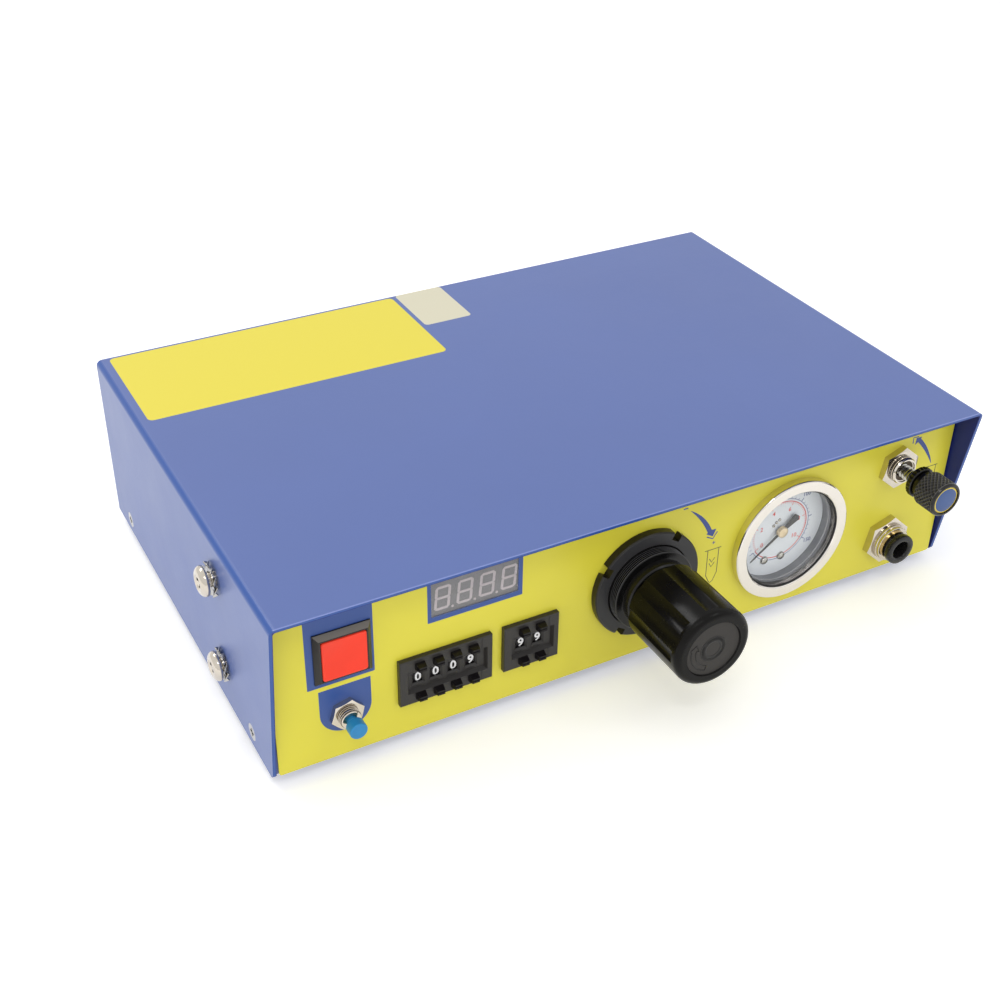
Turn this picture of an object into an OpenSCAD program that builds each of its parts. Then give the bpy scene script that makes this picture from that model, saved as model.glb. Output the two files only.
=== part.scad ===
// Bench glue dispenser: a folded steel case with a timer, a pressure regulator, a gauge,
// a vacuum needle valve and push-in air fittings. All sizes are in millimetres.
// The sub-parts are laid out in the case's own frame: x from its left side, y from the front
// edge of its hood, z from its bottom edge. placed() then moves them all to the origin, which
// is the middle of the whole object's footprint, on the surface that it stands on.

/* [Case] */
// Width of the case over its painted sides
case_w = 259; // [250:1:275]
// Depth of the case, from the hood's front edge to the back
case_d = 173; // [165:1:195]
// Height of the case, without its feet
case_h = 63.5; // [62:0.5:70]
// Thickness of the folded steel sheet
sheet_t = 1.2; // [0.9:0.1:1.5]
// Outer radius of the folds
fold_r = 2.2; // [1.8:0.1:3]
// How far the hood runs out in front of the front panel
hood_overhang = 9.5; // [7:0.5:11]
// How far the cover's sides slope back from the hood to their lower corners
side_slope = 9.3; // [6:0.1:9.5]
// Radius of the cover's lower front corners
lip_r = 2; // [1:0.5:4]
// Gap between the cover and the tray inside it
slip_gap = 0.3; // [0.2:0.05:0.5]
// How far the rear wall sits inside the cover's back edge
rear_inset = 1; // [0.5:0.5:2]
// Height of the tray's side flanges
flange_h = 12; // [10:1:16]
// Length of the notches that free the folds at the tray's corners
corner_relief = 4; // [3:0.5:6]
// Distance of the cover screws from the panel and from the rear wall
cover_screw_inset = 16.8; // [14:0.2:22]
// Height of the cover screws
cover_screw_z = 5.5; // [5:0.1:6.5]

/* [Front overlay] */
// Thickness of the printed plastic overlay
overlay_t = 0.5; // [0.3:0.1:0.8]
// Distance of the overlay from the tray's edges
overlay_margin = 0.6; // [0.4:0.1:1.5]
// Corner radius of the overlay
overlay_r = 1; // [1:0.5:3]
// Gap round everything that passes through the front panel and the rear wall
panel_gap = 0.25; // [0.2:0.05:0.4]

/* [Panel layout] */
// Power button, across and up
power_across = 24.4; // [22:0.1:27]
power_z = 40.2; // [39:0.1:42]
// Shot button, across and up
shot_across = 24.5; // [20:0.1:30]
shot_z = 17.1; // [14:0.1:20]
// Display, across and up
display_across = 68.1; // [60:0.1:80]
display_z = 48.4; // [46:0.1:50]
// Set-time thumbwheels, across
set_time_across = 57.4; // [54:0.1:58]
// Interval thumbwheels, across
interval_across = 87.1; // [85:0.1:90]
// Both rows of thumbwheels, up
wheels_z = 21.5; // [18:0.1:24]
// Regulator, across and up
regulator_across = 129.3; // [126:0.1:132]
regulator_z = 30.2; // [28:0.1:34]
// Gauge, across and up
gauge_across = 187.8; // [184:0.1:192]
gauge_z = 28.7; // [27:0.1:34]
// Vacuum valve and feed fitting, across
outlet_across = 232.6; // [228:0.1:236]
// Vacuum valve, up
vacuum_z = 44.3; // [41:0.1:48]
// Feed fitting, up
feed_z = 14.2; // [12:0.1:18]

/* [Power button] */
// Side of the square bezel at the panel
power_bezel_w = 18.3; // [17.9:0.1:20]
// How far the bezel stands out of the panel
power_bezel_h = 2; // [1:0.1:3]
// Slope of the bezel's four sides, measured along the panel
power_bezel_slope = 1.4; // [0.8:0.1:1.5]
// Side of the square housing behind the panel
power_body_w = 16.2; // [15.8:0.1:16.6]
// Depth of the housing behind the overlay
power_body_d = 24; // [18:1:34]
// Side of the red button
power_cap_w = 14.2; // [13.6:0.1:14.4]
// How far the released button stands out of the bezel
power_proud = 0.4; // [0.2:0.1:2]
// Travel of the button
power_travel = 1.6; // [1:0.1:3]
// Gap round the button
power_gap = 0.15; // [0.1:0.05:0.2]

/* [Shot button] */
// Outer radius of the threaded bushing
shot_bush_r = 3.45; // [3.2:0.05:3.8]
// How far the bushing stands out of the panel
shot_bush_h = 4.4; // [3.5:0.1:5]
// Radius of the plunger
shot_stem_r = 1.5; // [1.2:0.1:2]
// Radius of the blue cap
shot_cap_r = 2.85; // [2.5:0.05:4]
// Length of the blue cap
shot_cap_h = 3.7; // [3:0.1:6]
// Travel of the plunger
shot_travel = 1.6; // [1:0.1:1.8]

/* [Display] */
// Width and height of the clear window
window_w = 29.6; // [28:0.1:30]
window_h = 12.5; // [11:0.1:13]
// Width and height of the digit module behind it
digits_w = 30.2; // [29:0.1:31]
digits_h = 14; // [13:0.1:15]
// Depth of the digit module
digits_d = 7; // [5:0.5:10]

/* [Thumbwheels] */
// Width of one digit's cell
digit_pitch = 6; // [6:0.1:6.4]
// Width of the end cap on each side of a row
end_cap_w = 3.8; // [3:0.1:4.4]
// Height of the bezel
wheel_bezel_h = 17.1; // [16.9:0.1:18]
// How far the bezel stands out of the panel
wheel_bezel_t = 2; // [1.4:0.1:2.6]
// Depth of the sunk field in the bezel
field_sink = 1.3; // [0.4:0.1:1.4]
// Height of the sunk field
field_h = 8.8; // [7:0.1:9]
// Width of a digit's window
digit_window_w = 3.2; // [2.6:0.1:3.4]
// Height of a digit's window
digit_window_h = 3.8; // [3.4:0.1:4.4]
// Width and depth of the sloping edge round a window
window_slope_w = 0.6; // [0.3:0.1:0.7]
window_slope_d = 0.5; // [0.2:0.1:0.6]
// Radius of a digit wheel
wheel_r = 6; // [5.6:0.1:6.1]
// Width of a digit wheel's rim
wheel_w = 3; // [2.6:0.1:3.1]
// Radius of the axle that carries the wheels
axle_r = 1; // [0.8:0.1:1.4]
// Radius of a wheel's ratchet over its teeth
ratchet_r = 4.2; // [3.6:0.1:4.4]
// Depth of the ratchet's teeth
ratchet_tooth = 0.9; // [0.5:0.1:1.1]
// Thickness of the ratchet and of the plungers' arms
ratchet_t = 0.85; // [0.7:0.05:0.9]
// Thickness of the walls between the cells
cell_wall = 0.5; // [0.4:0.05:0.6]
// Width and height of a plunger's key
key_w = 3.2; // [2.8:0.1:3.6]
key_h = 2.4; // [2:0.1:2.6]
// How much narrower a key is at its ribbed face
key_taper = 0.7; // [0.2:0.1:1]
// Height of the keys above and below the middle of the wheels
key_z = 5.8; // [5.7:0.05:5.9]
// How far a key stands out of the panel
key_proud = 4.2; // [3.2:0.1:5]
// Travel of a key
key_travel = 1.6; // [1:0.1:1.7]
// Depth of the thumbwheel housings behind the overlay
wheel_body_d = 19; // [18:0.5:26]
// Thickness of the housing's top and bottom walls
wheel_wall = 0.8; // [0.6:0.1:1]
// Gap between the moving pieces of a cell
cell_gap = 0.3; // [0.2:0.05:0.35]

/* [Regulator] */
// Radius of the threaded bonnet
bonnet_r = 14.7; // [13.5:0.1:15.5]
// How far the bonnet's thread runs out of the panel
bonnet_thread_h = 6.6; // [5:0.1:7.5]
// Pitch of the bonnet's thread
bonnet_pitch = 1; // [0.8:0.1:2]
// Depth of the bonnet's thread
bonnet_thread_depth = 0.5; // [0.3:0.1:0.9]
// Radius of the bonnet's front end
bonnet_nose_r = 12.1; // [11:0.1:13]
// How far the bonnet's front end stands out of the panel
bonnet_nose_h = 10.1; // [9:0.1:11]
// Radius of the ring nut
ring_nut_r = 19.6; // [18:0.1:21]
// Thickness of the ring nut
ring_nut_t = 3; // [2.5:0.1:4]
// Width and depth of the ring nut's notches
nut_notch_w = 3.2; // [1.5:0.1:4]
nut_notch_d = 2.5; // [1:0.1:3]
// Direction of the first notch, in degrees from the right
nut_notch_turn = 58; // [0:1:89]
// Radius of the knob
knob_r = 13.7; // [12.5:0.1:15]
// Radius of the knob's end, where its shoulder begins
knob_end_r = 11.6; // [10.5:0.1:12.2]
// How far the knob's end stands out of the panel
knob_reach = 39.5; // [36:0.5:46]
// Gap between the bonnet and the knob
knob_gap = 2; // [1.5:0.1:3.5]
// Thickness of the knob's skirt
knob_skirt_t = 1.9; // [1.6:0.1:2.2]
// Number of grip flutes round the knob
knob_flutes = 8; // [6:1:12]
// Radius of a flute's hollow
flute_r = 5; // [4:0.1:7]
// Depth of a flute
flute_depth = 0.8; // [0.4:0.1:1]
// Depth of the dished end
knob_dish = 0.6; // [0.3:0.1:1]
// Radius of the dished end
knob_dish_r = 9.9; // [8:0.1:10.3]
// Radius of the adjusting spindle
spindle_r = 3; // [2.5:0.1:4]
// Distance across the flats of the spindle's hexagon
spindle_hex = 7; // [5:0.1:8]
// Pull of the knob, which unlocks it
knob_pull = 2.5; // [1.5:0.1:3]
// Side of the regulator's square body
regulator_w = 42; // [38:0.5:44]
// Depth of the regulator's body behind the panel
regulator_d = 54; // [48:1:58]

/* [Gauge] */
// Radius of the gauge's ring
gauge_ring_r = 23.1; // [22:0.1:24]
// How far the ring stands out of the panel
gauge_ring_h = 3.1; // [2.6:0.1:4]
// Inner radius of the ring
gauge_view_r = 18.9; // [18:0.1:19.2]
// Radius of the gauge's case behind the panel
gauge_case_r = 20.3; // [20:0.1:21]
// Wall of the gauge's case
gauge_wall = 1.5; // [1.2:0.1:1.6]
// Depth of the gauge's case
gauge_case_d = 25; // [22:0.5:30]
// Thickness of the glass
glass_t = 1.9; // [1.2:0.1:2.1]
// Depth of the dial behind the panel
dial_depth = 4.4; // [4:0.1:6]
// Thickness of the dial
dial_t = 0.8; // [0.5:0.1:1.2]
// Length of the pointer, from its axis to the tip
pointer_l = 15.2; // [12:0.1:17]
// Length of the pointer's tail
pointer_tail = 8; // [5:0.1:10]
// Direction of the pointer at rest, in degrees from the right
pointer_rest = 217; // [205:1:230]
// Radius of the gauge's air stem
gauge_stem_r = 5; // [4:0.1:6]
// Length of the gauge's air stem
gauge_stem_l = 13; // [10:0.5:18]

/* [Vacuum valve] */
// Radius of the valve's threaded stub
valve_stub_r = 5; // [4.6:0.1:5.6]
// How far the stub stands out of the panel
valve_stub_h = 4.5; // [3.5:0.1:5]
// Radius of the needle's stem
needle_r = 2.5; // [2:0.1:3]
// Thread pitch of the needle's stem
needle_pitch = 0.8; // [0.5:0.05:1]
// How far the lock ring's back stands out of the panel
lock_ring_z = 10.7; // [10:0.1:12]
// Radius and thickness of the lock ring
lock_ring_r = 5.6; // [5.2:0.1:6.5]
lock_ring_t = 2.2; // [1.8:0.1:3]
// Radius of the neck between the lock ring and the knob
vacuum_neck_r = 4.6; // [4:0.1:5]
// Length of that neck
vacuum_neck_l = 2.5; // [1.5:0.1:3.5]
// Radius and length of the vacuum knob
vacuum_knob_r = 6.3; // [6:0.1:8]
vacuum_knob_l = 9.4; // [8:0.1:14]
// Radius of the badge's seat in the knob's end
vacuum_badge_r = 5.1; // [4.5:0.1:5.3]
// Turns of the knob from the photographed setting until the valve is shut, and until it is wide open
needle_turns_in = 6; // [3:1:7]
needle_turns_out = 3; // [1:1:5]

/* [Air fittings] */
// Outer radius of the air tube that the fittings hold
tube_r = 3; // [2:0.5:3]
// Radial clearance of the tube in a fitting
tube_clearance = 0.05; // [0.02:0.01:0.1]
// Radius of a fitting's body in front of its nut
fitting_r = 7; // [6.6:0.1:7.2]
// How far a fitting's body stands out of the wall
fitting_h = 5.6; // [5:0.1:7]
// Radius and thickness of a release ring
release_r = 6.3; // [5.6:0.1:6.9]
release_t = 2.6; // [2:0.1:3.5]
// Travel of a release ring
release_travel = 1; // [0.6:0.1:1.2]
// Depth of a fitting behind the wall's outer face
fitting_d = 24; // [20:0.5:28]
// Length of the tube's seat in a fitting
tube_seat = 12; // [9:0.5:14]

/* [Rear wall] */
// Height of the connectors on the rear wall
rear_row_z = 30; // [28:0.5:33]
// Mains inlet, across
mains_across = 45; // [40:0.5:52]
// Foot-switch jack, across
jack_across = 96; // [88:0.5:100]
// Radius of the jack's bore, for a 6.35 mm plug
jack_bore_r = 3.25; // [3.2:0.01:3.3]
// Air inlet, across
inlet_across = 165; // [162:0.5:167]
// Exhaust silencer, across
silencer_across = 203; // [196:0.5:208]
// Length of the exhaust silencer
silencer_l = 17; // [12:0.5:20]
// Radius of the exhaust silencer
silencer_r = 6; // [5:0.1:8]

/* [Side screws] */
// Distance of the stand screws from the hood's front edge
stand_screw_y = 48.4; // [44:0.1:56]
// Height of the lower stand screw
stand_screw_z = 16.3; // [15.5:0.1:18]
// Spacing of the two stand screws
stand_spacing = 33.3; // [30:0.1:36]
// Radius of a stand screw's thread
stand_thread_r = 2.4; // [2:0.05:2.5]
// Radius of a stand screw's head, its thickness, and the thickness of its rim
stand_head_r = 4.95; // [4.5:0.05:5.5]
stand_head_t = 2.7; // [2.4:0.1:3.2]
stand_rim_t = 1.1; // [0.8:0.1:1.4]
// Length and width of the arms of its cross recess
stand_cross_l = 5; // [4:0.1:6]
stand_cross_w = 1; // [0.8:0.1:1.2]
// Outer radius and thickness of a star washer
star_r = 5.7; // [5.2:0.1:6.2]
star_t = 1.9; // [1.2:0.05:2.2]
// Number of its teeth
star_teeth = 10; // [8:1:14]
// Thickness of its sheet, and the twist of its teeth in degrees
star_sheet_t = 0.6; // [0.4:0.05:0.8]
star_twist = 50; // [40:1:60]
// How far the upper stand screw is backed out
stand_backed_out = 0.8; // [0.6:0.05:2]

/* [Feet] */
// Radius of a rubber foot at the top
foot_r = 7; // [6:0.5:9]
// Height of a rubber foot
foot_h = 4.5; // [4:0.1:7]
// Distance of the feet from the case's sides
foot_inset_x = 24; // [18:1:40]
// Distance of the feet from the hood's front edge and from the case's back
foot_inset_y = 26; // [24:1:40]

/* [Inside] */
// Board: width, depth and height above the floor
board_w = 80; // [70:1:84]
board_d = 84; // [60:1:86]
board_lift = 6; // [4:0.5:9]
// Transformer: width of its core, depth and height
core_w = 44; // [38:1:46]
core_d = 40; // [34:1:46]
core_h = 38; // [32:1:42]
// Valve block: depth, height and distance of its front from the hood's edge
block_d = 25; // [20:1:30]
block_h = 34; // [32:1:36]
block_y = 72; // [70:1:76]

/* [Hidden] */
$fn = 72;

// Colours, as the photograph shows them
blue_paint = [0.33, 0.40, 0.68];
panel_yellow = [0.88, 0.84, 0.22];
black_plastic = [0.09, 0.09, 0.10];
dark_plastic = [0.16, 0.16, 0.17];
button_red = [0.95, 0.25, 0.18];
cap_blue = [0.10, 0.52, 0.80];
nickel = [0.80, 0.77, 0.72];
steel = [0.70, 0.70, 0.72];
rubber_black = [0.05, 0.05, 0.05];
board_green = [0.05, 0.32, 0.16];
dial_white = [0.92, 0.94, 0.96];
clear_glass = [0.75, 0.82, 0.86, 0.35];
brass = [0.78, 0.62, 0.30];
tube_blue = [0.30, 0.50, 0.85];

// Case: tray, walls and the faces that the other pieces are fixed to
tray_x = sheet_t + slip_gap;
tray_w = case_w - 2 * tray_x;
wall_h = case_h - sheet_t - slip_gap;
panel_y = hood_overhang;
wall_y = panel_y + overlay_t;
rear_y = case_d - rear_inset;
tray_d = rear_y - wall_y;
panel_back = overlay_t + sheet_t;
fit_clearance = 0.05;
sight_gap = 0.1;
eps = 0.01;
cut_depth = 9;

// Places across the panel and the rear wall spread with the case, from their places on a 259 mm one
spread = case_w / 259;
function across(x) = x * spread;
power_x = across(power_across);
shot_x = across(shot_across);
display_x = across(display_across);
set_time_x = across(set_time_across);
interval_x = across(interval_across);
regulator_x = across(regulator_across);
gauge_x = across(gauge_across);
outlet_x = across(outlet_across);
mains_x = across(mains_across);
jack_x = across(jack_across);
inlet_x = across(inlet_across);
silencer_x = across(silencer_across);

// Power button: how its cap and stem stack up behind the bezel
power_face = power_bezel_h + power_proud;
power_cap_d = 6;
power_well_d = power_cap_d + power_travel + 0.4 - power_proud;

// Shot button: the switch's case, bore and solder tags behind the panel
shot_case_w = 11;
shot_case_d = 15;
shot_bore_d = 9;
shot_tag_l = 5;

// Thumbwheels: places across one cell, and the wheels' axis behind the panel
cell_half = digit_pitch / 2 - cell_wall / 2;
arm_x = cell_half - cell_gap - ratchet_t;
wheel_x = arm_x - cell_gap - wheel_w;
wheel_mid_x = wheel_x + wheel_w / 2;
wheel_axis_depth = wheel_r - sight_gap;
key_shoulder_t = 1.4;
pawl_depth = ratchet_tooth / 2;
cavity_h = 2 * (key_z + key_h / 2 + sight_gap);
wheel_body_h = cavity_h + 2 * wheel_wall;
wheel_body_side = 2.2;
key_shoulder_h = key_h / 2 - sight_gap;
arm_l = wheel_body_d - cell_wall - key_travel - key_shoulder_h - 2 * cell_gap;
field_floor = wheel_bezel_t - field_sink;
field_slope = 0.7;
field_left = 1.2;
field_right = 2;
bezel_edge = 0.3;
rib_w = 0.35;
rib_t = 0.3;
set_time_digits = 4;
interval_digits = 2;

// Regulator, seen from the panel outwards
bonnet_shoulder_r = bonnet_r + 2;
bonnet_shoulder_t = 5;
spindle_depth = 5.4;
knob_back = bonnet_nose_h + knob_gap;
knob_roof_t = 1.5;
spindle_end = knob_reach - knob_pull - knob_roof_t;
shoulder_r = knob_r - knob_end_r;
hex_clearance = 0.1;
port_boss_l = 4;
port_r = 6.5;
port_depth = 44;

// Gauge: how the glass and the dial sit
glass_r = gauge_view_r + 0.7;
case_inner_r = gauge_case_r - gauge_wall;
arbor_r = 0.8;
hub_r = 1.9;
hub_t = 1.5;
pointer_t = 0.4;
pointer_lift = 0.8;

// Vacuum valve and fittings behind the panel
valve_flange_r = 8;
valve_flange_t = 3;
valve_body_r = 7;
needle_in = needle_turns_in * needle_pitch;
needle_out = needle_turns_out * needle_pitch;
needle_engaged = 10.3;
needle_seat_gap = 1.5;
stem_bore_depth = needle_seat_gap + needle_in + needle_out + needle_engaged;
valve_body_d = stem_bore_depth + 7;
needle_back = needle_in + needle_seat_gap - stem_bore_depth;
vacuum_knob_z = lock_ring_z + lock_ring_t + vacuum_neck_l;
needle_top = vacuum_knob_z + 6;
release_bore_r = tube_r + 0.25;
release_sleeve_r = tube_r + 1.3;
release_gap = release_travel + 0.1;
release_sleeve_z = 2.5;
collar_r = release_sleeve_r + 1.2;
collar_h = 0.6;
fitting_flange_r = 8.5;
fitting_tail_r = tube_r + 2.5;
tube_mouth_z = release_sleeve_z - release_travel - 0.5;
fitting_boss_l = 10;
fitting_flange_t = 2.5;

// Nuts: distance across flats, thickness and turn
nut_chamfer = tan(20);
shot_nut = [9.6, 2, 14];
valve_nut = [13.8, 2.5, 20];
fitting_nut = [16, 3, 18];
jack_nut = [13, 2.2, 0];

// Rear wall: the jack's bushing and the silencer's thread
jack_bush_r = 5;
jack_bush_h = 4;
jack_depth = 20;
jack_body_w = 15;
jack_back_t = 4;
silencer_thread_r = 4.8;
silencer_thread_l = 8;
rear_thread_l = 4;
silencer_nose = 3;
silencer_top = rear_thread_l + silencer_l;

// Mains inlet
mains_flange = [48, 24, 2.4];
mains_body = [27, 20, 20];
mains_well = [24, 16.8, 15];
mains_screw_spacing = 40;
mains_corner_r = 4;
mains_key = 4;
mains_pin_w = 2;
mains_pin_h = 4;
mains_pin_pitch = 7;
mains_tag_l = 7;

// Inside: places of the transformer and the board, the valve block and the tubes' bends
core_tube_gap = 10;
core_rear_gap = 28;
strap_ear = 6;
strap_t = 1;
board_gap = 8.5;
strap_w = core_w + 2 * strap_ear;
transformer_x = inlet_x - tube_r - core_tube_gap - core_w / 2;
transformer_y = rear_y - core_rear_gap - core_d / 2;
board_x = transformer_x - strap_w / 2 - board_w / 2;
board_y = panel_y + power_body_d + board_gap + board_d / 2;
block_lead = 12;
block_tail = 10;
block_left = gauge_x - block_lead;
block_right = outlet_x + block_tail;
coil_inset = 12;
coil_pitch = 22;
board_t = 1.6;
spacer_r = 2.5;
spacer_inset = 5;
capacitor_r = 5;
capacitor_h = 16;
// Processor, two relays and the terminal strip: middle across and back, width, depth and height
board_blocks = [[-18, 12, 15, 36, 4], [14, 20, 19, 15, 15], [14, -2, 19, 15, 15], [28, -28, 16, 8, 10]];
coil_r = 9;
coil_h = 22;
ejector_r = 7;
ejector_l = 39;
ejector_lead = 2;
ejector_web_t = 6;
port_lead = 4;
bend_r = 10;
outlet_port_z = regulator_z - 10;

// How far the whole object reaches past the case, and so where its middle is
reach_left = stand_backed_out + star_t + stand_head_t;
reach_front = knob_reach - panel_y;
reach_back = rear_y + silencer_top;
middle_x = (case_w - reach_left) / 2;
middle_y = (reach_back - reach_front) / 2;

// Points of an arc round c, from angle a0 to a1
function arc(c, r, a0, a1, n = 8) =
    [for (i = [0:n]) c + r * [cos(a0 + (a1 - a0) * i / n), sin(a0 + (a1 - a0) * i / n)]];

// Outline of a rounded rectangle about its middle
function rounded(w, h, r) = concat(
    arc([w / 2 - r, h / 2 - r], r, 0, 90), arc([r - w / 2, h / 2 - r], r, 90, 180),
    arc([r - w / 2, r - h / 2], r, 180, 270), arc([w / 2 - r, r - h / 2], r, 270, 360));

// Cross-section of a sheet folded to a channel that is open at the top
function channel(w, h, t, r) = concat(
    [[0, h]], arc([r, r], r, 180, 270), arc([w - r, r], r, 270, 360), [[w, h], [w - t, h]],
    arc([w - r, r], r - t, 360, 270), arc([r, r], r - t, 270, 180), [[t, h]]);

// Cross-section of a sheet folded once, from a wall of height h to a foot of length l
function angle(h, l, t, r) = concat(
    [[0, h]], arc([r, r], r, 180, 270), [[l, 0], [l, t]], arc([r, r], r - t, 270, 180), [[t, h]]);

// Outline of a round piece with straight knurling
function knurl(r, depth, teeth) =
    [for (i = [0:2 * teeth - 1]) (r - (i % 2) * depth) * [cos(i * 180 / teeth), sin(i * 180 / teeth)]];

// Outline of a ratchet with sawtooth teeth
function ratchet(r, depth, teeth) =
    [for (i = [0:teeth - 1], s = [0, 1]) (r - s * depth) * [cos((i + 0.15 * s) * 360 / teeth),
                                                          sin((i + 0.15 * s) * 360 / teeth)]];

module placed() translate([-middle_x, -middle_y, foot_h]) children();

// Frames on the case's faces: z runs out of the face and y runs up
module on_panel(x, z) translate([x, panel_y, z]) rotate([90, 0, 0]) children();
module on_rear(x, z) translate([x, rear_y, z]) rotate([90, 0, 180]) children();
module on_left(y, z) translate([0, y, z]) rotate([90, 0, -90]) children();
module on_right(y, z) translate([case_w, y, z]) rotate([90, 0, 90]) children();

module revolve(points) rotate_extrude() polygon(points);

// A disc or pin from z0 to z1
module pin(r, z0, z1) translate([0, 0, z0]) cylinder(r = r, h = z1 - z0);

// A box about the z axis, from z0 to z1
module block(w, h, z0, z1) translate([-w / 2, -h / 2, z0]) cube([w, h, z1 - z0]);

// A block from z0 to z2 that gets narrower by less, and as much lower, above z1
module taper(w, h, less, z0, z1, z2) intersection() {
    rotate([90, 0, 0]) linear_extrude(h, center = true) polygon(taper_side(w, less, z0, z1, z2));
    rotate([90, 0, 90]) linear_extrude(w, center = true) polygon(taper_side(h, less, z0, z1, z2));
}
function taper_side(w, less, z0, z1, z2) = [[-w / 2, z0], [w / 2, z0], [w / 2, z1],
    [(w - less) / 2, z2], [(less - w) / 2, z2], [-w / 2, z1]];

// A hexagonal nut with chamfered corners on its outer side
module hex_nut(size, bore_r) {
    corner_r = size[0] / 2 / cos(30);
    face_r = size[0] / 2 - 0.2;
    past_r = corner_r + 1;
    difference() {
        intersection() {
            rotate(size[2]) cylinder(r = corner_r, h = size[1], $fn = 6);
            revolve([[0, -1], [past_r, -1], [past_r, size[1] - (past_r - face_r) * nut_chamfer],
                     [face_r, size[1]], [0, size[1]]]);
        }
        pin(bore_r, -1, size[1] + 1);
    }
}

// Everything that passes through the front panel, with a gap round it
module panel_cutters(gap) {
    on_panel(power_x, power_z) block(power_body_w + 2 * gap, power_body_w + 2 * gap, -cut_depth, 1);
    on_panel(set_time_x, wheels_z) wheel_row_cutter(set_time_digits, gap);
    on_panel(interval_x, wheels_z) wheel_row_cutter(interval_digits, gap);
    on_panel(shot_x, shot_z) pin(shot_bush_r + gap, -cut_depth, 1);
    on_panel(regulator_x, regulator_z) pin(bonnet_r + gap, -cut_depth, 1);
    on_panel(gauge_x, gauge_z) pin(gauge_case_r + gap, -cut_depth, 1);
    on_panel(outlet_x, vacuum_z) pin(valve_stub_r + gap, -cut_depth, 1);
    on_panel(outlet_x, feed_z) pin(fitting_r + gap, -cut_depth, 1);
}

module wheel_row_cutter(digits, gap)
    block(digits * digit_pitch + 2 * wheel_body_side + 2 * gap, wheel_body_h + 2 * gap, -cut_depth, 1);

module rear_cutters() {
    on_rear(mains_x, rear_row_z)
        block(mains_body[0] + 2 * panel_gap, mains_body[1] + 2 * panel_gap, -cut_depth, 1);
    at_mains_screws() pin(flat_screw_r + fit_clearance, -cut_depth, 1);
    on_rear(jack_x, rear_row_z) pin(jack_bush_r + panel_gap, -cut_depth, 1);
    on_rear(inlet_x, regulator_z) pin(fitting_r + panel_gap, -cut_depth, 1);
    on_rear(silencer_x, rear_row_z) pin(silencer_thread_r + panel_gap, -cut_depth, 1);
}

// Where the four cover screws and the four feet go
module at_cover_screws() for (y = [panel_y + cover_screw_inset, rear_y - cover_screw_inset]) {
    on_left(y, cover_screw_z) children();
    on_right(y, cover_screw_z) children();
}
module at_mains_screws() on_rear(mains_x, rear_row_z) for (s = [-1, 1])
    translate([s * mains_screw_spacing / 2, 0, mains_flange[2]]) children();
module at_feet() for (x = [foot_inset_x, case_w - foot_inset_x], y = [foot_inset_y, case_d - foot_inset_y])
    translate([x, y, 0]) children();

flat_screw_r = 1.5;
flat_screw_l = 7;
flat_head_r = 2.9;
slot_l = 3.2;
slot_w = 0.7;
foot_screw_r = 1.5;
foot_web_t = 1.6;

// A countersunk screw with its head flush at z = 0, and the seat that it goes into
module flat_screw() difference() {
    revolve([[0, 0], [flat_head_r, 0], [flat_screw_r, -sheet_t],
        [flat_screw_r, -flat_screw_l], [0, -flat_screw_l]]);
    for (a = [0, 90]) rotate(a) block(slot_l, slot_w, -0.8, 1);
}
module flat_screw_seat() {
    hole_r = flat_screw_r + sight_gap;
    revolve([[0, 1], [flat_head_r, 1], [flat_head_r, 0], [flat_screw_r, -sheet_t], [hole_r, -sheet_t],
             [hole_r, -cut_depth], [0, -cut_depth]]);
}

module chassis() color(blue_paint) difference() {
    union() {
        translate([tray_x, wall_y, 0]) rotate([90, 0, 90])
            linear_extrude(tray_w) polygon(angle(wall_h, corner_relief + 4, sheet_t, fold_r));
        translate([tray_x, rear_y, 0]) mirror([0, 1, 0]) rotate([90, 0, 90])
            linear_extrude(tray_w) polygon(angle(wall_h, corner_relief + 4, sheet_t, fold_r));
        translate([tray_x, rear_y - corner_relief, 0]) rotate([90, 0, 0])
            linear_extrude(tray_d - 2 * corner_relief) polygon(channel(tray_w, flange_h, sheet_t, fold_r));
    }
    panel_cutters(panel_gap);
    on_panel(display_x, display_z)
        block(digits_w + 2 * panel_gap, digits_h + 2 * panel_gap, -cut_depth, 1);
    rear_cutters();
    at_cover_screws() pin(flat_screw_r + fit_clearance, -cut_depth, 1);
    at_feet() pin(foot_screw_r + fit_clearance, -1, sheet_t + 1);
}

// Side view of the cover, which cuts its sloping front edges
function cover_side() = concat(
    [[0, case_h]], arc([side_slope + lip_r, lip_r], lip_r, 180, 270), [[case_d, 0], [case_d, case_h]]);

module top_cover() color(blue_paint) difference() {
    union() {
        intersection() {
            translate([0, case_d, case_h]) rotate([90, 0, 0]) mirror([0, 1, 0])
                linear_extrude(case_d) polygon(channel(case_w, case_h, sheet_t, fold_r));
            translate([-1, 0, 0]) rotate([90, 0, 90]) linear_extrude(case_w + 2) polygon(cover_side());
        }
        at_stand_screws() pin(rivet_nut_r, -rivet_nut_l, -sheet_t / 2);
    }
    at_stand_screws() pin(stand_thread_r + fit_clearance, -rivet_nut_l - 1, 1);
    at_cover_screws() flat_screw_seat();
}

rivet_nut_r = 4;
rivet_nut_l = 8;

module at_stand_screws() {
    on_left(stand_screw_y, stand_screw_z) children();
    on_left(stand_screw_y, stand_screw_z + stand_spacing) children();
}

module front_overlay() color(panel_yellow) difference() {
    overlay_w = tray_w - 2 * overlay_margin;
    overlay_h = wall_h - 2 * overlay_margin;
    on_panel(case_w / 2, overlay_margin + overlay_h / 2) translate([0, 0, -overlay_t])
        linear_extrude(overlay_t) polygon(rounded(overlay_w, overlay_h, overlay_r));
    panel_cutters(panel_gap);
    on_panel(display_x, display_z) block(window_w, window_h, -cut_depth, 1);
}

module case_screws() color(steel) {
    at_cover_screws() flat_screw();
    at_mains_screws() flat_screw();
}

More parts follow.
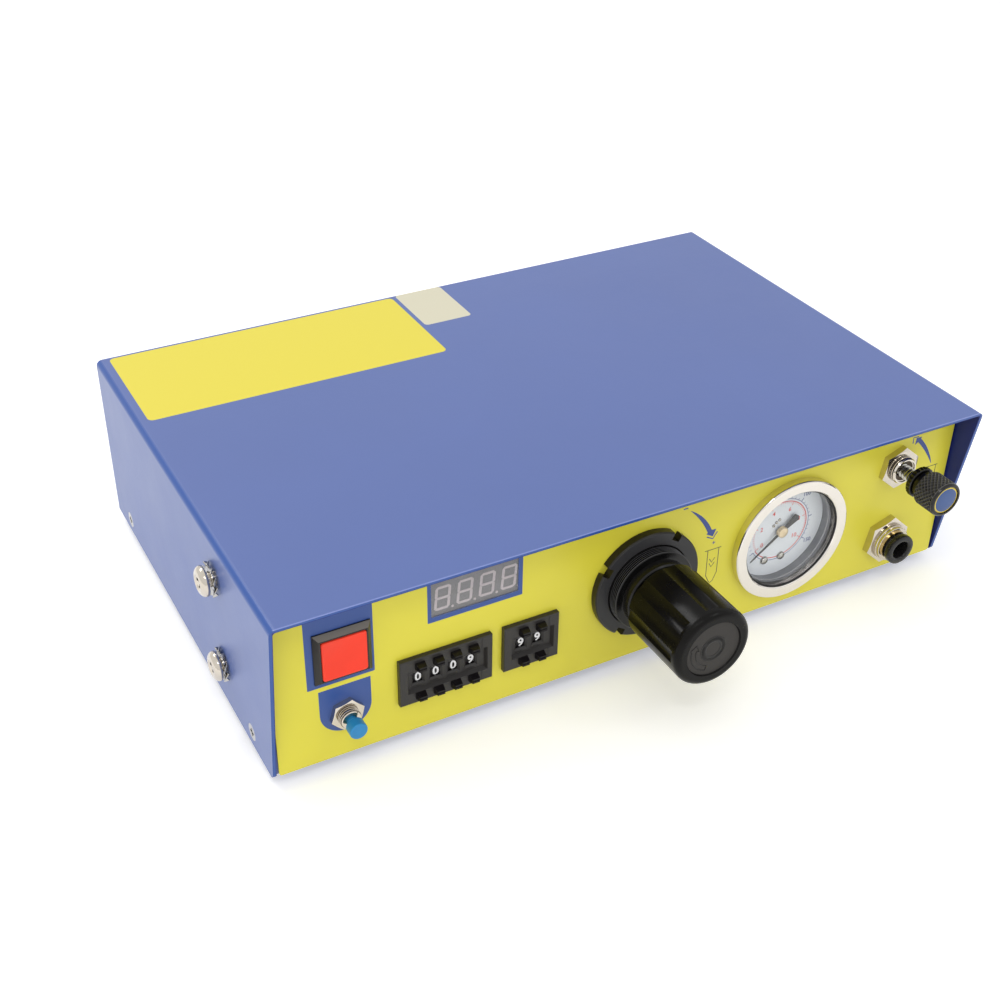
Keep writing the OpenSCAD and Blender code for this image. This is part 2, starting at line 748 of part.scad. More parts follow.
// A binding-head screw: a thin rim under a low dome
module stand_screw() difference() {
    dome_h = stand_head_t - stand_rim_t;
    dome_r = (stand_head_r * stand_head_r + dome_h * dome_h) / 2 / dome_h;
    revolve(concat(
        [[0, -rivet_nut_l], [stand_thread_r, -rivet_nut_l], [stand_thread_r, 0], [stand_head_r, 0]],
        arc([0, stand_head_t - dome_r], dome_r, acos(stand_head_r / dome_r), 90)));
    for (a = [0, 90]) rotate(a) block(stand_cross_l, stand_cross_w, stand_head_t - 1.2, stand_head_t + 1);
}

module stand_screws() color(nickel) {
    on_left(stand_screw_y, stand_screw_z) translate([0, 0, star_t]) stand_screw();
    on_left(stand_screw_y, stand_screw_z + stand_spacing)
        translate([0, 0, star_t + stand_backed_out]) stand_screw();
}

// A lock washer with teeth round its rim, each twisted until it spans star_t
module star_washer() {
    root_r = star_r - 1.6;
    tooth_w = (star_t - star_sheet_t * cos(star_twist)) / sin(star_twist);
    translate([0, 0, star_t / 2]) difference() {
        union() {
            pin(root_r, -star_sheet_t / 2, star_sheet_t / 2);
            for (i = [1:star_teeth]) rotate([star_twist, 0, i * 360 / star_teeth])
                translate([root_r - 0.6, -tooth_w / 2, -star_sheet_t / 2])
                cube([star_r - root_r + 0.6, tooth_w, star_sheet_t]);
        }
        pin(stand_thread_r + 0.15, -star_t, star_t);
    }
}

module stand_star_washers() color(steel) {
    on_left(stand_screw_y, stand_screw_z) star_washer();
    on_left(stand_screw_y, stand_screw_z + stand_spacing)
        translate([0, 0, stand_backed_out / 3]) star_washer();
}

module rubber_feet() color(rubber_black) at_feet() difference() {
    revolve([[0, 0], [foot_r, 0], [foot_r, -0.6], [foot_r - 1, 0.4 - foot_h], [foot_r - 1.4, -foot_h],
             [0, -foot_h]]);
    pin(flat_head_r + 0.5, -foot_h - 1, -foot_web_t);
    pin(foot_screw_r + fit_clearance, -foot_h, 1);
}

module foot_screws() color(steel) at_feet() difference() {
    head_back = foot_web_t + 2;
    union() {
        pin(foot_screw_r, -foot_web_t - eps, sheet_t + 3.5);
        pin(flat_head_r, -head_back, -foot_web_t);
        translate([0, 0, sheet_t]) rotate(15) cylinder(r = 3.1, h = 2.2, $fn = 6);
    }
    for (a = [0, 90]) rotate(a) block(slot_l, slot_w, -head_back - 0.4, 0.8 - head_back);
}

module power_switch_housing() color(dark_plastic) on_panel(power_x, power_z) difference() {
    union() {
        taper(power_bezel_w, power_bezel_w, 2 * power_bezel_slope, 0, 0.5, power_bezel_h);
        block(power_body_w, power_body_w, -power_body_d, eps);
        for (x = [-4, 4], y = [-4, 4]) translate([x, y, -power_body_d]) block(0.8, 2.4, -6, 0);
    }
    block(power_cap_w + 2 * power_gap, power_cap_w + 2 * power_gap, power_bezel_h - power_well_d,
          power_bezel_h + 1);
}

module power_button() color(button_red) on_panel(power_x, power_z)
    translate([0, 0, power_face - power_cap_d])
    linear_extrude(power_cap_d) polygon(rounded(power_cap_w, power_cap_w, 0.8));

module display_module() color(dark_plastic) on_panel(display_x, display_z) difference() {
    union() {
        block(digits_w, digits_h, -overlay_t - digits_d, -overlay_t);
        translate([0, 0, -overlay_t - digits_d]) block(digits_w + 8, digits_h + 6, -1.6, 0);
    }
    for (i = [-1.5:1.5]) translate([i * digits_w / 4, 0, 0])
        block(5, 9.6, -overlay_t - 0.4, 1);
}

module display_window() color(clear_glass) on_panel(display_x, display_z)
    block(window_w, window_h, -overlay_t, 0);

// The x of a digit's cell in a row that has its middle at x
function cell_x(x, digits, i) = x + (i - (digits + 1) / 2) * digit_pitch;

// Bezel, cells and axle of a row of digits, about the row's middle
module wheel_housing(digits) {
    row_w = digits * digit_pitch;
    bezel_w = row_w + 2 * end_cap_w;
    body_w = row_w + 2 * wheel_body_side;
    difference() {
        union() {
            taper(bezel_w, wheel_bezel_h, 2 * bezel_edge, 0, wheel_bezel_t - bezel_edge, wheel_bezel_t);
            block(body_w, wheel_body_h, -wheel_body_d, eps);
            block(body_w - 2, wheel_body_h - 4, -wheel_body_d - 1.6, -wheel_body_d + eps);
        }
        field_cutter(row_w);
        translate([row_w / 2, 0, 0]) block(0.15, wheel_bezel_h + 1, wheel_bezel_t - 0.2, wheel_bezel_t + 1);
        for (i = [1:digits]) translate([cell_x(0, digits, i), 0, 0]) {
            block(2 * cell_half, cavity_h, cell_wall - wheel_body_d, 0);
            translate([wheel_mid_x, 0, 0]) {
                block(digit_window_w, digit_window_h, -1, wheel_bezel_t + 1);
                sloping_cutter(digit_window_w + 2 * window_slope_w, digit_window_h + 2 * window_slope_w,
                    window_slope_w, field_floor - window_slope_d, field_floor);
            }
            for (s = [-1, 1]) translate([0, s * key_z, 0])
                block(key_w + 2 * sight_gap, key_h + 2 * sight_gap, -1, wheel_bezel_t + 1);
        }
    }
    translate([0, 0, -wheel_axis_depth]) rotate([0, 90, 0]) pin(axle_r, -row_w / 2 - 1, row_w / 2 + 1);
}

// A recess with straight walls above z1, which slope in by slope on each side down to z0
module sloping_cutter(w, h, slope, z0, z1)
    translate([0, 0, z0]) mirror([0, 0, 1]) taper(w, h, 2 * slope, z0 - z1 - cut_depth, z0 - z1, 0);

// The sunk field round the digits, which runs further to the right than to the left
module field_cutter(row_w) translate([(field_right - field_left) / 2, 0, 0])
    sloping_cutter(row_w + field_left + field_right, field_h, field_slope, field_floor, wheel_bezel_t);

// One digit wheel with its ratchet, on the axle of its cell
module digit_wheel() color(black_plastic) translate([0, 0, -wheel_axis_depth]) rotate([90, 0, 90])
    difference() {
        union() {
            pin(wheel_r, wheel_x, wheel_x + wheel_w);
            pin(2.4, wheel_x, arm_x + eps);
            translate([0, 0, arm_x]) linear_extrude(ratchet_t)
                polygon(ratchet(ratchet_r, ratchet_tooth, 10));
        }
        pin(axle_r + fit_clearance, -digit_pitch, digit_pitch);
    }

// Outline of a key's arm, with the pawl that turns the ratchet; u runs back and v away from the wheel
function arm_outline(v) = concat([[0, v], [arm_l, v]], arc([arm_l, 0], v, 90, -90),
    [[wheel_axis_depth - 0.6, -v], [wheel_axis_depth - 0.6, -v - pawl_depth], [wheel_axis_depth - 2.4, -v],
     [key_shoulder_t, -v], [0, v / 4]]);

// One push key with its arm beside the wheel; s is 1 above the wheel and -1 below it
module digit_key(s) color(black_plastic) translate([0, s * key_z, 0]) mirror([0, (1 - s) / 2, 0]) {
    shoulder_w = key_w / 2 + arm_x + ratchet_t;
    difference() {
        taper(key_w, key_h, key_taper, 0, wheel_bezel_t, key_proud);
        translate([0, 0, key_proud]) block(key_w, rib_w, -rib_t, 1);
    }
    translate([-key_w / 2, 0, -key_shoulder_t]) cube([shoulder_w, key_shoulder_h, key_shoulder_t]);
    translate([arm_x, 0, 0]) rotate([0, 90, 0]) linear_extrude(ratchet_t)
        polygon(arm_outline(key_shoulder_h));
}

module set_time_housing() color(black_plastic) on_panel(set_time_x, wheels_z)
    wheel_housing(set_time_digits);
module interval_housing() color(black_plastic) on_panel(interval_x, wheels_z)
    wheel_housing(interval_digits);
module set_time_cell(i) on_panel(cell_x(set_time_x, set_time_digits, i), wheels_z) children();
module interval_cell(i) on_panel(cell_x(interval_x, interval_digits, i), wheels_z) children();

module shot_switch_body() color(nickel) on_panel(shot_x, shot_z) {
    difference() {
        union() {
            pin(shot_bush_r, -panel_back - 1, shot_bush_h - 0.4);
            pin(shot_bush_r - 0.4, 0, shot_bush_h);
            block(shot_case_w, shot_case_w, -panel_back - shot_case_d, -panel_back);
        }
        pin(shot_stem_r + fit_clearance, -panel_back - shot_bore_d, shot_bush_h + 1);
    }
    for (s = [-1, 1]) translate([s * 2.5, 0, -panel_back - shot_case_d]) block(0.8, 2.2, -shot_tag_l, 0);
}

module shot_button() color(cap_blue) on_panel(shot_x, shot_z) {
    cap_back = shot_bush_h + shot_travel + 0.3;
    pin(shot_stem_r, 1 - panel_back - shot_bore_d + shot_travel, cap_back + eps);
    revolve(concat([[0, cap_back], [shot_cap_r - 0.2, cap_back], [shot_cap_r, cap_back + 0.3]],
        arc([shot_cap_r - 0.5, cap_back + shot_cap_h - 0.5], 0.5, 0, 90), [[0, cap_back + shot_cap_h]]));
}

// The bonnet's thread, shown as rings of the true pitch where it is in sight
function thread_rings(r, depth, pitch, z0, z1) = [for (z = [z0:pitch:z1 - pitch], s = [0:3])
    [r - depth * [0, 0, 1, 1][s], z + pitch * [0, 0.35, 0.55, 0.8][s]]];

module regulator_bonnet() color(black_plastic) on_panel(regulator_x, regulator_z) difference() {
    back = -panel_back - bonnet_shoulder_t;
    revolve(concat([[0, back], [bonnet_shoulder_r, back], [bonnet_shoulder_r, -panel_back],
        [bonnet_r, -panel_back], [bonnet_r, ring_nut_t]],
        thread_rings(bonnet_r, bonnet_thread_depth, bonnet_pitch, ring_nut_t, bonnet_thread_h),
        [[bonnet_r - bonnet_thread_depth, bonnet_thread_h], [bonnet_nose_r + 0.6, bonnet_thread_h],
         [bonnet_nose_r, bonnet_thread_h + 0.6], [bonnet_nose_r, bonnet_nose_h - 0.5],
         [bonnet_nose_r - 0.5, bonnet_nose_h], [0, bonnet_nose_h]]));
    pin(spindle_r + fit_clearance, -spindle_depth - cell_gap, bonnet_nose_h + 1);
}

module regulator_ring_nut() color(black_plastic) on_panel(regulator_x, regulator_z) difference() {
    revolve([[bonnet_r + fit_clearance, 0], [ring_nut_r, 0], [ring_nut_r, ring_nut_t - 0.5],
             [ring_nut_r - 0.5, ring_nut_t], [bonnet_r + 0.5, ring_nut_t],
             [bonnet_r + fit_clearance, ring_nut_t - 0.5]]);
    for (a = [0:90:270]) rotate(nut_notch_turn + a) translate([ring_nut_r, 0, 0])
        block(2 * nut_notch_d, nut_notch_w, -1, ring_nut_t + 1);
}

// Zinc body behind the bonnet, with its air ports and filter bowl boss
module regulator_body() color(nickel) on_panel(regulator_x, regulator_z) {
    front = -panel_back - bonnet_shoulder_t;
    difference() {
        union() {
            translate([0, 0, front - 8]) linear_extrude(8) polygon(rounded(regulator_w, regulator_w, 8));
            pin(regulator_w / 2 - 3, -regulator_d, front);
            rotate([0, 90, 0]) translate([port_depth, 0, 0]) pin(port_r, -regulator_w / 2, regulator_w / 2);
            translate([0, outlet_port_z - regulator_z, 0])
                pin(port_r, -regulator_d - port_boss_l, -regulator_d + eps);
        }
        for (x = [-1, 1], y = [-1, 1]) translate([x * (regulator_w / 2 - 4), y * (regulator_w / 2 - 4), 0])
            pin(1.7, front - 3, front + 1);
    }
}

module regulator_spindle() color(steel) on_panel(regulator_x, regulator_z) {
    pin(spindle_r, -spindle_depth, knob_back + eps);
    translate([0, 0, knob_back])
        cylinder(r = spindle_hex / 2 / cos(30), h = spindle_end - knob_back, $fn = 6);
}

// Moulded knob: a fluted skirt over a hub that slides on the spindle's hexagon
module regulator_knob() color(black_plastic) on_panel(regulator_x, regulator_z) difference() {
    dish_z = knob_reach - knob_dish;
    revolve(concat([[0, knob_back], [knob_r - 0.4, knob_back], [knob_r, knob_back + 0.4]],
        arc([knob_end_r, knob_reach - shoulder_r], shoulder_r, 0, 90),
        [[knob_dish_r, knob_reach], [knob_dish_r - 0.3, dish_z], [0, dish_z]]));
    difference() {
        pin(knob_r - knob_skirt_t - flute_depth, knob_back - 1, spindle_end);
        pin(spindle_hex / 2 + 3, knob_back + 1, spindle_end + 1);
    }
    cylinder(r = (spindle_hex / 2 + hex_clearance) / cos(30), h = spindle_end + sight_gap, $fn = 6);
    for (i = [0:knob_flutes - 1]) rotate(i * 360 / knob_flutes)
        translate([knob_r + flute_r - flute_depth, 0, 0]) pin(flute_r, 0, knob_reach - shoulder_r - 1);
}

module gauge_case() color(steel) on_panel(gauge_x, gauge_z) difference() {
    union() {
        difference() {
            pin(gauge_case_r, -gauge_case_d, 0);
            pin(case_inner_r, gauge_wall - gauge_case_d, 1);
        }
        pin(hub_r + 5, -gauge_case_d, -dial_depth - dial_t);
        pin(gauge_stem_r, -gauge_case_d - gauge_stem_l, -gauge_case_d + eps);
        translate([0, 0, -gauge_case_d - 6]) cylinder(r = 8, h = 6, $fn = 6);
    }
    pin(arbor_r + fit_clearance, -dial_depth - 5, 1);
}

module gauge_ring() color(steel) on_panel(gauge_x, gauge_z) revolve(concat(
    [[glass_r + 0.1, 0], [gauge_ring_r, 0]],
    arc([gauge_ring_r - 0.8, gauge_ring_h - 0.8], 0.8, 0, 90, 6),
    [[gauge_view_r + 0.4, gauge_ring_h], [gauge_view_r, gauge_ring_h - 0.4], [gauge_view_r, glass_t],
     [glass_r + 0.1, glass_t]]));

module gauge_glass() color(clear_glass) on_panel(gauge_x, gauge_z) pin(glass_r, 0, glass_t);

module gauge_dial() color(dial_white) on_panel(gauge_x, gauge_z) difference() {
    union() {
        pin(case_inner_r - 0.3, -dial_depth - dial_t, -dial_depth);
        rotate(pointer_rest + 5) translate([pointer_l - 2.4, 0, -dial_depth])
            pin(0.5, 0, pointer_lift + pointer_t);
    }
    pin(arbor_r + fit_clearance, -dial_depth - dial_t - 1, 1);
}

module gauge_pointer() color(dark_plastic) on_panel(gauge_x, gauge_z) {
    low = pointer_lift - dial_depth;
    pin(arbor_r, -dial_depth - 4.5, low + eps);
    pin(hub_r, low, low + hub_t);
    rotate(pointer_rest) translate([0, 0, low + 0.3]) linear_extrude(pointer_t)
        polygon([[pointer_l, 0.08], [pointer_l, -0.08], [0, -0.5], [-pointer_tail + 0.6, -1.5],
                 [-pointer_tail, 0], [-pointer_tail + 0.6, 1.5], [0, 0.5]]);
}

module vacuum_valve_body() color(nickel) on_panel(outlet_x, vacuum_z) difference() {
    flange_back = -panel_back - valve_flange_t;
    revolve([[0, -valve_body_d], [valve_body_r, -valve_body_d], [valve_body_r, flange_back],
        [valve_flange_r, flange_back], [valve_flange_r, -panel_back],
        [valve_stub_r, -panel_back], [valve_stub_r, valve_stub_h - 0.4], [valve_stub_r - 0.4, valve_stub_h],
        [valve_stub_r - 0.8, valve_stub_h], [valve_stub_r - 0.8, valve_stub_h - 1], [0, valve_stub_h - 1]]);
    pin(needle_r + fit_clearance, -stem_bore_depth, valve_stub_h + 1);
}

module vacuum_needle() color(steel) on_panel(outlet_x, vacuum_z) revolve([
    [0, needle_back], [needle_r - 1.6, needle_back], [needle_r, needle_back + 3.5],
    [needle_r, needle_top - 0.3], [needle_r - 0.3, needle_top], [0, needle_top]]);

// A disc wider than r whose cones cut a chamfer of size c on a piece of radius r
module edge_cones(r, z0, z1, c) revolve([[0, z0], [r - c, z0], [r + 0.5, z0 + c + 0.5],
    [r + 0.5, z1 - c - 0.5], [r - c, z1], [0, z1]]);

module vacuum_lock_ring() color(black_plastic) on_panel(outlet_x, vacuum_z) difference() {
    intersection() {
        translate([0, 0, lock_ring_z]) linear_extrude(lock_ring_t) polygon(knurl(lock_ring_r, 0.25, 24));
        edge_cones(lock_ring_r, lock_ring_z, lock_ring_z + lock_ring_t, 0.4);
    }
    pin(needle_r + fit_clearance, lock_ring_z - 1, lock_ring_z + lock_ring_t + 1);
}

module vacuum_knob() color(black_plastic) on_panel(outlet_x, vacuum_z) difference() {
    end = vacuum_knob_z + vacuum_knob_l;
    union() {
        pin(vacuum_neck_r, lock_ring_z + lock_ring_t + 0.2, vacuum_knob_z + 1);
        intersection() {
            translate([0, 0, vacuum_knob_z]) linear_extrude(vacuum_knob_l)
                polygon(knurl(vacuum_knob_r, 0.3, 30));
            edge_cones(vacuum_knob_r, vacuum_knob_z, end, 0.7);
        }
    }
    pin(needle_r + fit_clearance, lock_ring_z, needle_top + 0.4);
    pin(vacuum_badge_r, end - 0.4, end + 1);
}

// Push-in fitting for one air tube, about its own axis; wall is the thickness it clamps
module fitting_body(wall) difference() {
    step = fitting_h - 1.1;
    collar_top = fitting_h + collar_h;
    boss_r = fitting_flange_r - 1;
    boss_back = -wall - fitting_boss_l;
    flange_back = -wall - fitting_flange_t;
    revolve([[0, -fitting_d], [fitting_tail_r, -fitting_d], [fitting_tail_r, boss_back],
        [boss_r, boss_back], [boss_r, flange_back], [fitting_flange_r, flange_back],
        [fitting_flange_r, -wall], [fitting_r, -wall],
        [fitting_r, step - 0.2], [fitting_r - 0.2, step], [fitting_r - 0.4, step],
        [fitting_r - 0.4, fitting_h - 0.2], [fitting_r - 0.6, fitting_h], [collar_r, fitting_h],
        [collar_r, collar_top], [0, collar_top]]);
    pin(release_sleeve_r + sight_gap, tube_mouth_z, collar_top + 1);
    pin(tube_r + tube_clearance, tube_mouth_z - tube_seat, fitting_h);
}

// The ring that frees the tube when it is pushed in
module release_ring() {
    back = fitting_h + collar_h + release_gap;
    front = back + release_t;
    revolve([[release_bore_r, release_sleeve_z], [release_sleeve_r, release_sleeve_z],
        [release_sleeve_r, back], [release_r - 0.4, back],
        [release_r, back + 0.4], [release_r, front - 0.6], [release_r - 0.6, front],
        [release_bore_r + 0.4, front], [release_bore_r, front - 0.4]]);
}

module feed_fitting_body() color(nickel) on_panel(outlet_x, feed_z) fitting_body(panel_back);
module feed_release_ring() color(black_plastic) on_panel(outlet_x, feed_z) release_ring();
module air_inlet_body() color(nickel) on_rear(inlet_x, regulator_z) fitting_body(sheet_t);
module air_inlet_release_ring() color(tube_blue) on_rear(inlet_x, regulator_z) release_ring();

// All the nuts that clamp round pieces to the front panel and the rear wall
module panel_nuts() color(nickel) {
    on_panel(shot_x, shot_z) hex_nut(shot_nut, shot_bush_r + fit_clearance);
    on_panel(outlet_x, vacuum_z) hex_nut(valve_nut, valve_stub_r + fit_clearance);
    on_panel(outlet_x, feed_z) hex_nut(fitting_nut, fitting_r + fit_clearance);
    on_rear(inlet_x, regulator_z) hex_nut(fitting_nut, fitting_r + fit_clearance);
    on_rear(jack_x, rear_row_z) hex_nut(jack_nut, jack_bush_r + fit_clearance);
}

// A rectangle with its two upper corners cut off
function keyed_outline(w, h, c) = [[-w / 2, -h / 2], [w / 2, -h / 2], [w / 2, h / 2 - c],
    [w / 2 - c, h / 2], [c - w / 2, h / 2], [-w / 2, h / 2 - c]];

// Appliance inlet with its three flat pins
module mains_inlet() color(dark_plastic) on_rear(mains_x, rear_row_z) {
    difference() {
        union() {
            linear_extrude(mains_flange[2])
                polygon(rounded(mains_flange[0], mains_flange[1], mains_corner_r));
            block(mains_body[0], mains_body[1], -mains_body[2], eps);
        }
        for (s = [-1, 1]) translate([s * mains_screw_spacing / 2, 0, mains_flange[2]]) flat_screw_seat();
        translate([0, 0, mains_flange[2] - mains_well[2]]) linear_extrude(mains_well[2] + 1)
            polygon(keyed_outline(mains_well[0], mains_well[1], mains_key));
    }
    for (p = [[-mains_pin_pitch, 0], [0, mains_key], [mains_pin_pitch, 0]])
        translate(p) block(mains_pin_w, mains_pin_h, -mains_body[2] - mains_tag_l, -1);
}

module foot_switch_jack() color(dark_plastic) on_rear(jack_x, rear_row_z) difference() {
    union() {
        pin(jack_bush_r, -sheet_t - 1, jack_bush_h);
        block(jack_body_w, jack_body_w, -jack_depth - jack_back_t, -sheet_t);
    }
    pin(jack_bore_r, -jack_depth, jack_bush_h + 1);
}

// Sintered silencer on a threaded bulkhead
module exhaust_silencer() color(brass) on_rear(silencer_x, rear_row_z) revolve(concat(
    [[0, -silencer_thread_l], [silencer_thread_r, -silencer_thread_l], [silencer_thread_r, 0],
     [silencer_r + 1, 0], [silencer_r + 1, rear_thread_l], [silencer_r, rear_thread_l]],
    arc([silencer_r - silencer_nose, silencer_top - silencer_nose], silencer_nose, 0, 90),
    [[0, silencer_top]]));

// Laminated core with its coil round the middle limb, on a strap with two ears
module transformer() color(steel) translate([transformer_x, transformer_y, sheet_t]) {
    block(core_w, core_d / 2, 0, core_h);
    translate([0, 0, core_h / 6]) linear_extrude(core_h * 2 / 3)
        polygon(rounded(core_w * 2 / 3, core_d, core_w / 15));
    block(strap_w, core_d / 3, 0, strap_t);
}

// Printed board on four spacers, with its main components
module control_board() color(board_green) translate([board_x, board_y, sheet_t]) {
    top = board_lift + board_t;
    block(board_w, board_d, board_lift, top);
    for (x = [-1, 1], y = [-1, 1])
        translate([x * (board_w / 2 - spacer_inset), y * (board_d / 2 - spacer_inset), 0])
            pin(spacer_r, 0, board_lift + eps);
    for (p = board_blocks) translate([p[0], p[1], 0]) block(p[2], p[3], top - eps, top + p[4]);
    for (i = [0:2]) translate([board_w * (0.175 * i - 0.3), -board_d * 2 / 7, 0])
        pin(capacitor_r, top - eps, top + capacitor_h);
}

// Valve block with two coils and the vacuum ejector, ports towards the panel
module solenoid_valve() color(steel) {
    top = sheet_t + block_h;
    translate([block_left, block_y, sheet_t]) cube([block_right - block_left, block_d, block_h]);
    for (i = [0, 1]) translate([block_left + coil_inset + i * coil_pitch, block_y + block_d / 2, top])
        pin(coil_r, -eps, coil_h);
    translate([outlet_x, block_y - ejector_lead, vacuum_z]) rotate([-90, 0, 0]) pin(ejector_r, 0, ejector_l);
    translate([outlet_x - ejector_web_t / 2, block_y, top - eps])
        cube([ejector_web_t, block_d, vacuum_z - top]);
}

// A straight tube along y at x, z
module tube_run(x, z, y0, y1, r) translate([x, y0, z]) rotate([-90, 0, 0]) pin(r, 0, y1 - y0);

// A quarter bend in the plane of the floor: it leaves the y direction and ends along x
module tube_bend(x, y, z, bend, r, turn) translate([x, y, z]) rotate(turn)
    rotate_extrude(angle = 90) translate([bend, 0]) circle(r);

// A straight tube along x at y, z
module cross_run(y, z, x0, x1, r) translate([x0, y, z]) rotate([0, 90, 0]) pin(r, 0, x1 - x0);

module air_tubes() color(tube_blue) {
    supply_y = panel_y + port_depth;
    outlet_y = panel_y + regulator_d + port_boss_l;
    outlet_bend_y = outlet_y + port_lead;
    tube_run(outlet_x, feed_z, panel_y + fitting_d, block_y, tube_r);
    tube_run(gauge_x, gauge_z, panel_y + gauge_case_d + gauge_stem_l, block_y, tube_r);
    tube_run(outlet_x, vacuum_z, panel_y + valve_body_d, block_y - ejector_lead, tube_r - 1);
    tube_run(inlet_x, regulator_z, supply_y + bend_r, rear_y - fitting_d, tube_r);
    tube_bend(inlet_x - bend_r, supply_y + bend_r, regulator_z, bend_r, tube_r, -90);
    cross_run(supply_y, regulator_z, regulator_x + regulator_w / 2, inlet_x - bend_r, tube_r);
    tube_run(regulator_x, outlet_port_z, outlet_y, outlet_bend_y, tube_r);
    tube_bend(regulator_x + bend_r, outlet_bend_y, outlet_port_z, bend_r, tube_r, 90);
    cross_run(outlet_bend_y + bend_r, outlet_port_z, regulator_x + bend_r, block_left, tube_r);
    tube_run(silencer_x, rear_row_z, block_y + block_d, rear_y - silencer_thread_l, tube_r);
}

placed() chassis();
placed() top_cover();
placed() front_overlay();
placed() case_screws();
placed() stand_screws();
placed() stand_star_washers();
placed() rubber_feet();
placed() foot_screws();
placed() power_switch_housing();
placed() power_button();
placed() display_module();
placed() display_window();
placed() set_time_housing();
for (i = [1:set_time_digits]) {
    placed() set_time_cell(i) digit_wheel();
    placed() set_time_cell(i) digit_key(-1);
    placed() set_time_cell(i) digit_key(1);
}
placed() interval_housing();
for (i = [1:interval_digits]) {
    placed() interval_cell(i) digit_wheel();
    placed() interval_cell(i) digit_key(-1);
    placed() interval_cell(i) digit_key(1);
}
placed() shot_switch_body();
placed() shot_button();
placed() regulator_bonnet();
placed() regulator_body();
placed() regulator_ring_nut();
placed() regulator_spindle();
placed() regulator_knob();
placed() gauge_case();
placed() gauge_ring();
placed() gauge_glass();
placed() gauge_dial();
placed() gauge_pointer();
placed() vacuum_valve_body();
placed() vacuum_needle();
placed() vacuum_lock_ring();
placed() vacuum_knob();
placed() feed_fitting_body();
placed() feed_release_ring();
placed() panel_nuts();
placed() mains_inlet();
placed() foot_switch_jack();
placed() air_inlet_body();
placed() air_inlet_release_ring();
placed() exhaust_silencer();
placed() transformer();
placed() control_board();
placed() solenoid_valve();
placed() air_tubes();
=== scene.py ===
import math

import bmesh
import bpy
from mathutils import Matrix, Vector


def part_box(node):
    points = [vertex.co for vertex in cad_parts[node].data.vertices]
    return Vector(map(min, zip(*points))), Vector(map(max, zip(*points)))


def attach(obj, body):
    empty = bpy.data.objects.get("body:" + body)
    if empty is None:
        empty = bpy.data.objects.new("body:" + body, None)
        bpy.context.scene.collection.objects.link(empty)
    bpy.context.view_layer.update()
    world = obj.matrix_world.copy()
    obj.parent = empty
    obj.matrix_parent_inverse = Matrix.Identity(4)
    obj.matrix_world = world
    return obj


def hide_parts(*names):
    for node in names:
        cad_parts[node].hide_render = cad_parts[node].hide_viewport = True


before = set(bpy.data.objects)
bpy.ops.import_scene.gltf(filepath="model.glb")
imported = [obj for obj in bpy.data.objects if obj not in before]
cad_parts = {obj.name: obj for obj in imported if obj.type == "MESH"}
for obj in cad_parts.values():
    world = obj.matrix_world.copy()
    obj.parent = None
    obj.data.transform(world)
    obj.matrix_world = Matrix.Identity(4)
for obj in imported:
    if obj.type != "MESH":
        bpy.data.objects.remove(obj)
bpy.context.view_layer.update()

# Camera: it stands in front of the left corner and looks down on the front panel, as the photograph does.
# The place, the angles and the lens come from the case's corners and its known size.
camera = bpy.data.objects.new("camera", bpy.data.cameras.new("camera"))
bpy.context.scene.collection.objects.link(camera)
camera.location = (-0.218484, -0.377780, 0.314846)
camera.rotation_euler = [math.radians(turn) for turn in (56.28, -0.7216, -28.2604)]
camera.data.sensor_width = 36
camera.data.lens = 51.945
camera.data.clip_start = 0.01
bpy.context.scene.camera = camera
bpy.context.scene.view_settings.view_transform = "Standard"


# Bench and light: a seamless pale sheet under the dispenser, three large soft boxes, three narrow lights that
# the glossy parts reflect, and a bright white room.
def colour(red, green, blue):
    """A colour given as it shows on a screen, 0 to 255, for Blender's sockets."""
    share = [value / 255 for value in (red, green, blue)]
    return [v / 12.92 if v < 0.04045 else ((v + 0.055) / 1.055) ** 2.4 for v in share] + [1]


def feed(tree, socket, value):
    """Gives a socket a plain value, or links another node's output to it."""
    if isinstance(value, bpy.types.NodeSocket):
        tree.links.new(value, socket)
    else:
        socket.default_value = value


def add_node(tree, kind, **values):
    """A shader node, a step to the left of the one before, with its settings and what feeds its sockets."""
    node = tree.nodes.new(kind)
    node.location.x = -200 * len(tree.nodes)
    for name, value in values.items():
        if hasattr(node, name):
            setattr(node, name, value)
        else:
            feed(tree, node.inputs[name.replace("_", " ")], value)
    return node


def maths(tree, operation, *values, kind="Math", **settings):
    """What a maths node makes of plain values or other nodes' outputs."""
    node = add_node(tree, f"ShaderNode{kind}", operation=operation, **settings)
    for socket, value in zip(node.inputs, values):
        feed(tree, socket, value)
    one_number = kind == "Math" or operation in ("LENGTH", "DOT_PRODUCT")
    return node.outputs["Value" if one_number else "Vector"]


def bare_rays(tree):
    """1 for rays from the camera, from a reflection or through glass, and 0 for the light on the object."""
    ray = add_node(tree, "ShaderNodeLightPath").outputs
    seen = maths(tree, "MAXIMUM", ray["Is Camera Ray"], ray["Is Glossy Ray"])
    return maths(tree, "MAXIMUM", seen, ray["Is Transmission Ray"])


room_light, bench_glow, bench_w = 0.62, 0.3, 12
room = bpy.data.worlds.new("room")
room.use_nodes = True
bpy.context.scene.world = room
room_strength = add_node(room.node_tree, "ShaderNodeMapRange", Value=bare_rays(room.node_tree),
                         To_Min=room_light, To_Max=1.0)
background = room.node_tree.nodes["Background"]
feed(room.node_tree, background.inputs["Strength"], room_strength.outputs[0])
background.inputs["Color"].default_value = (1, 1, 1, 1)

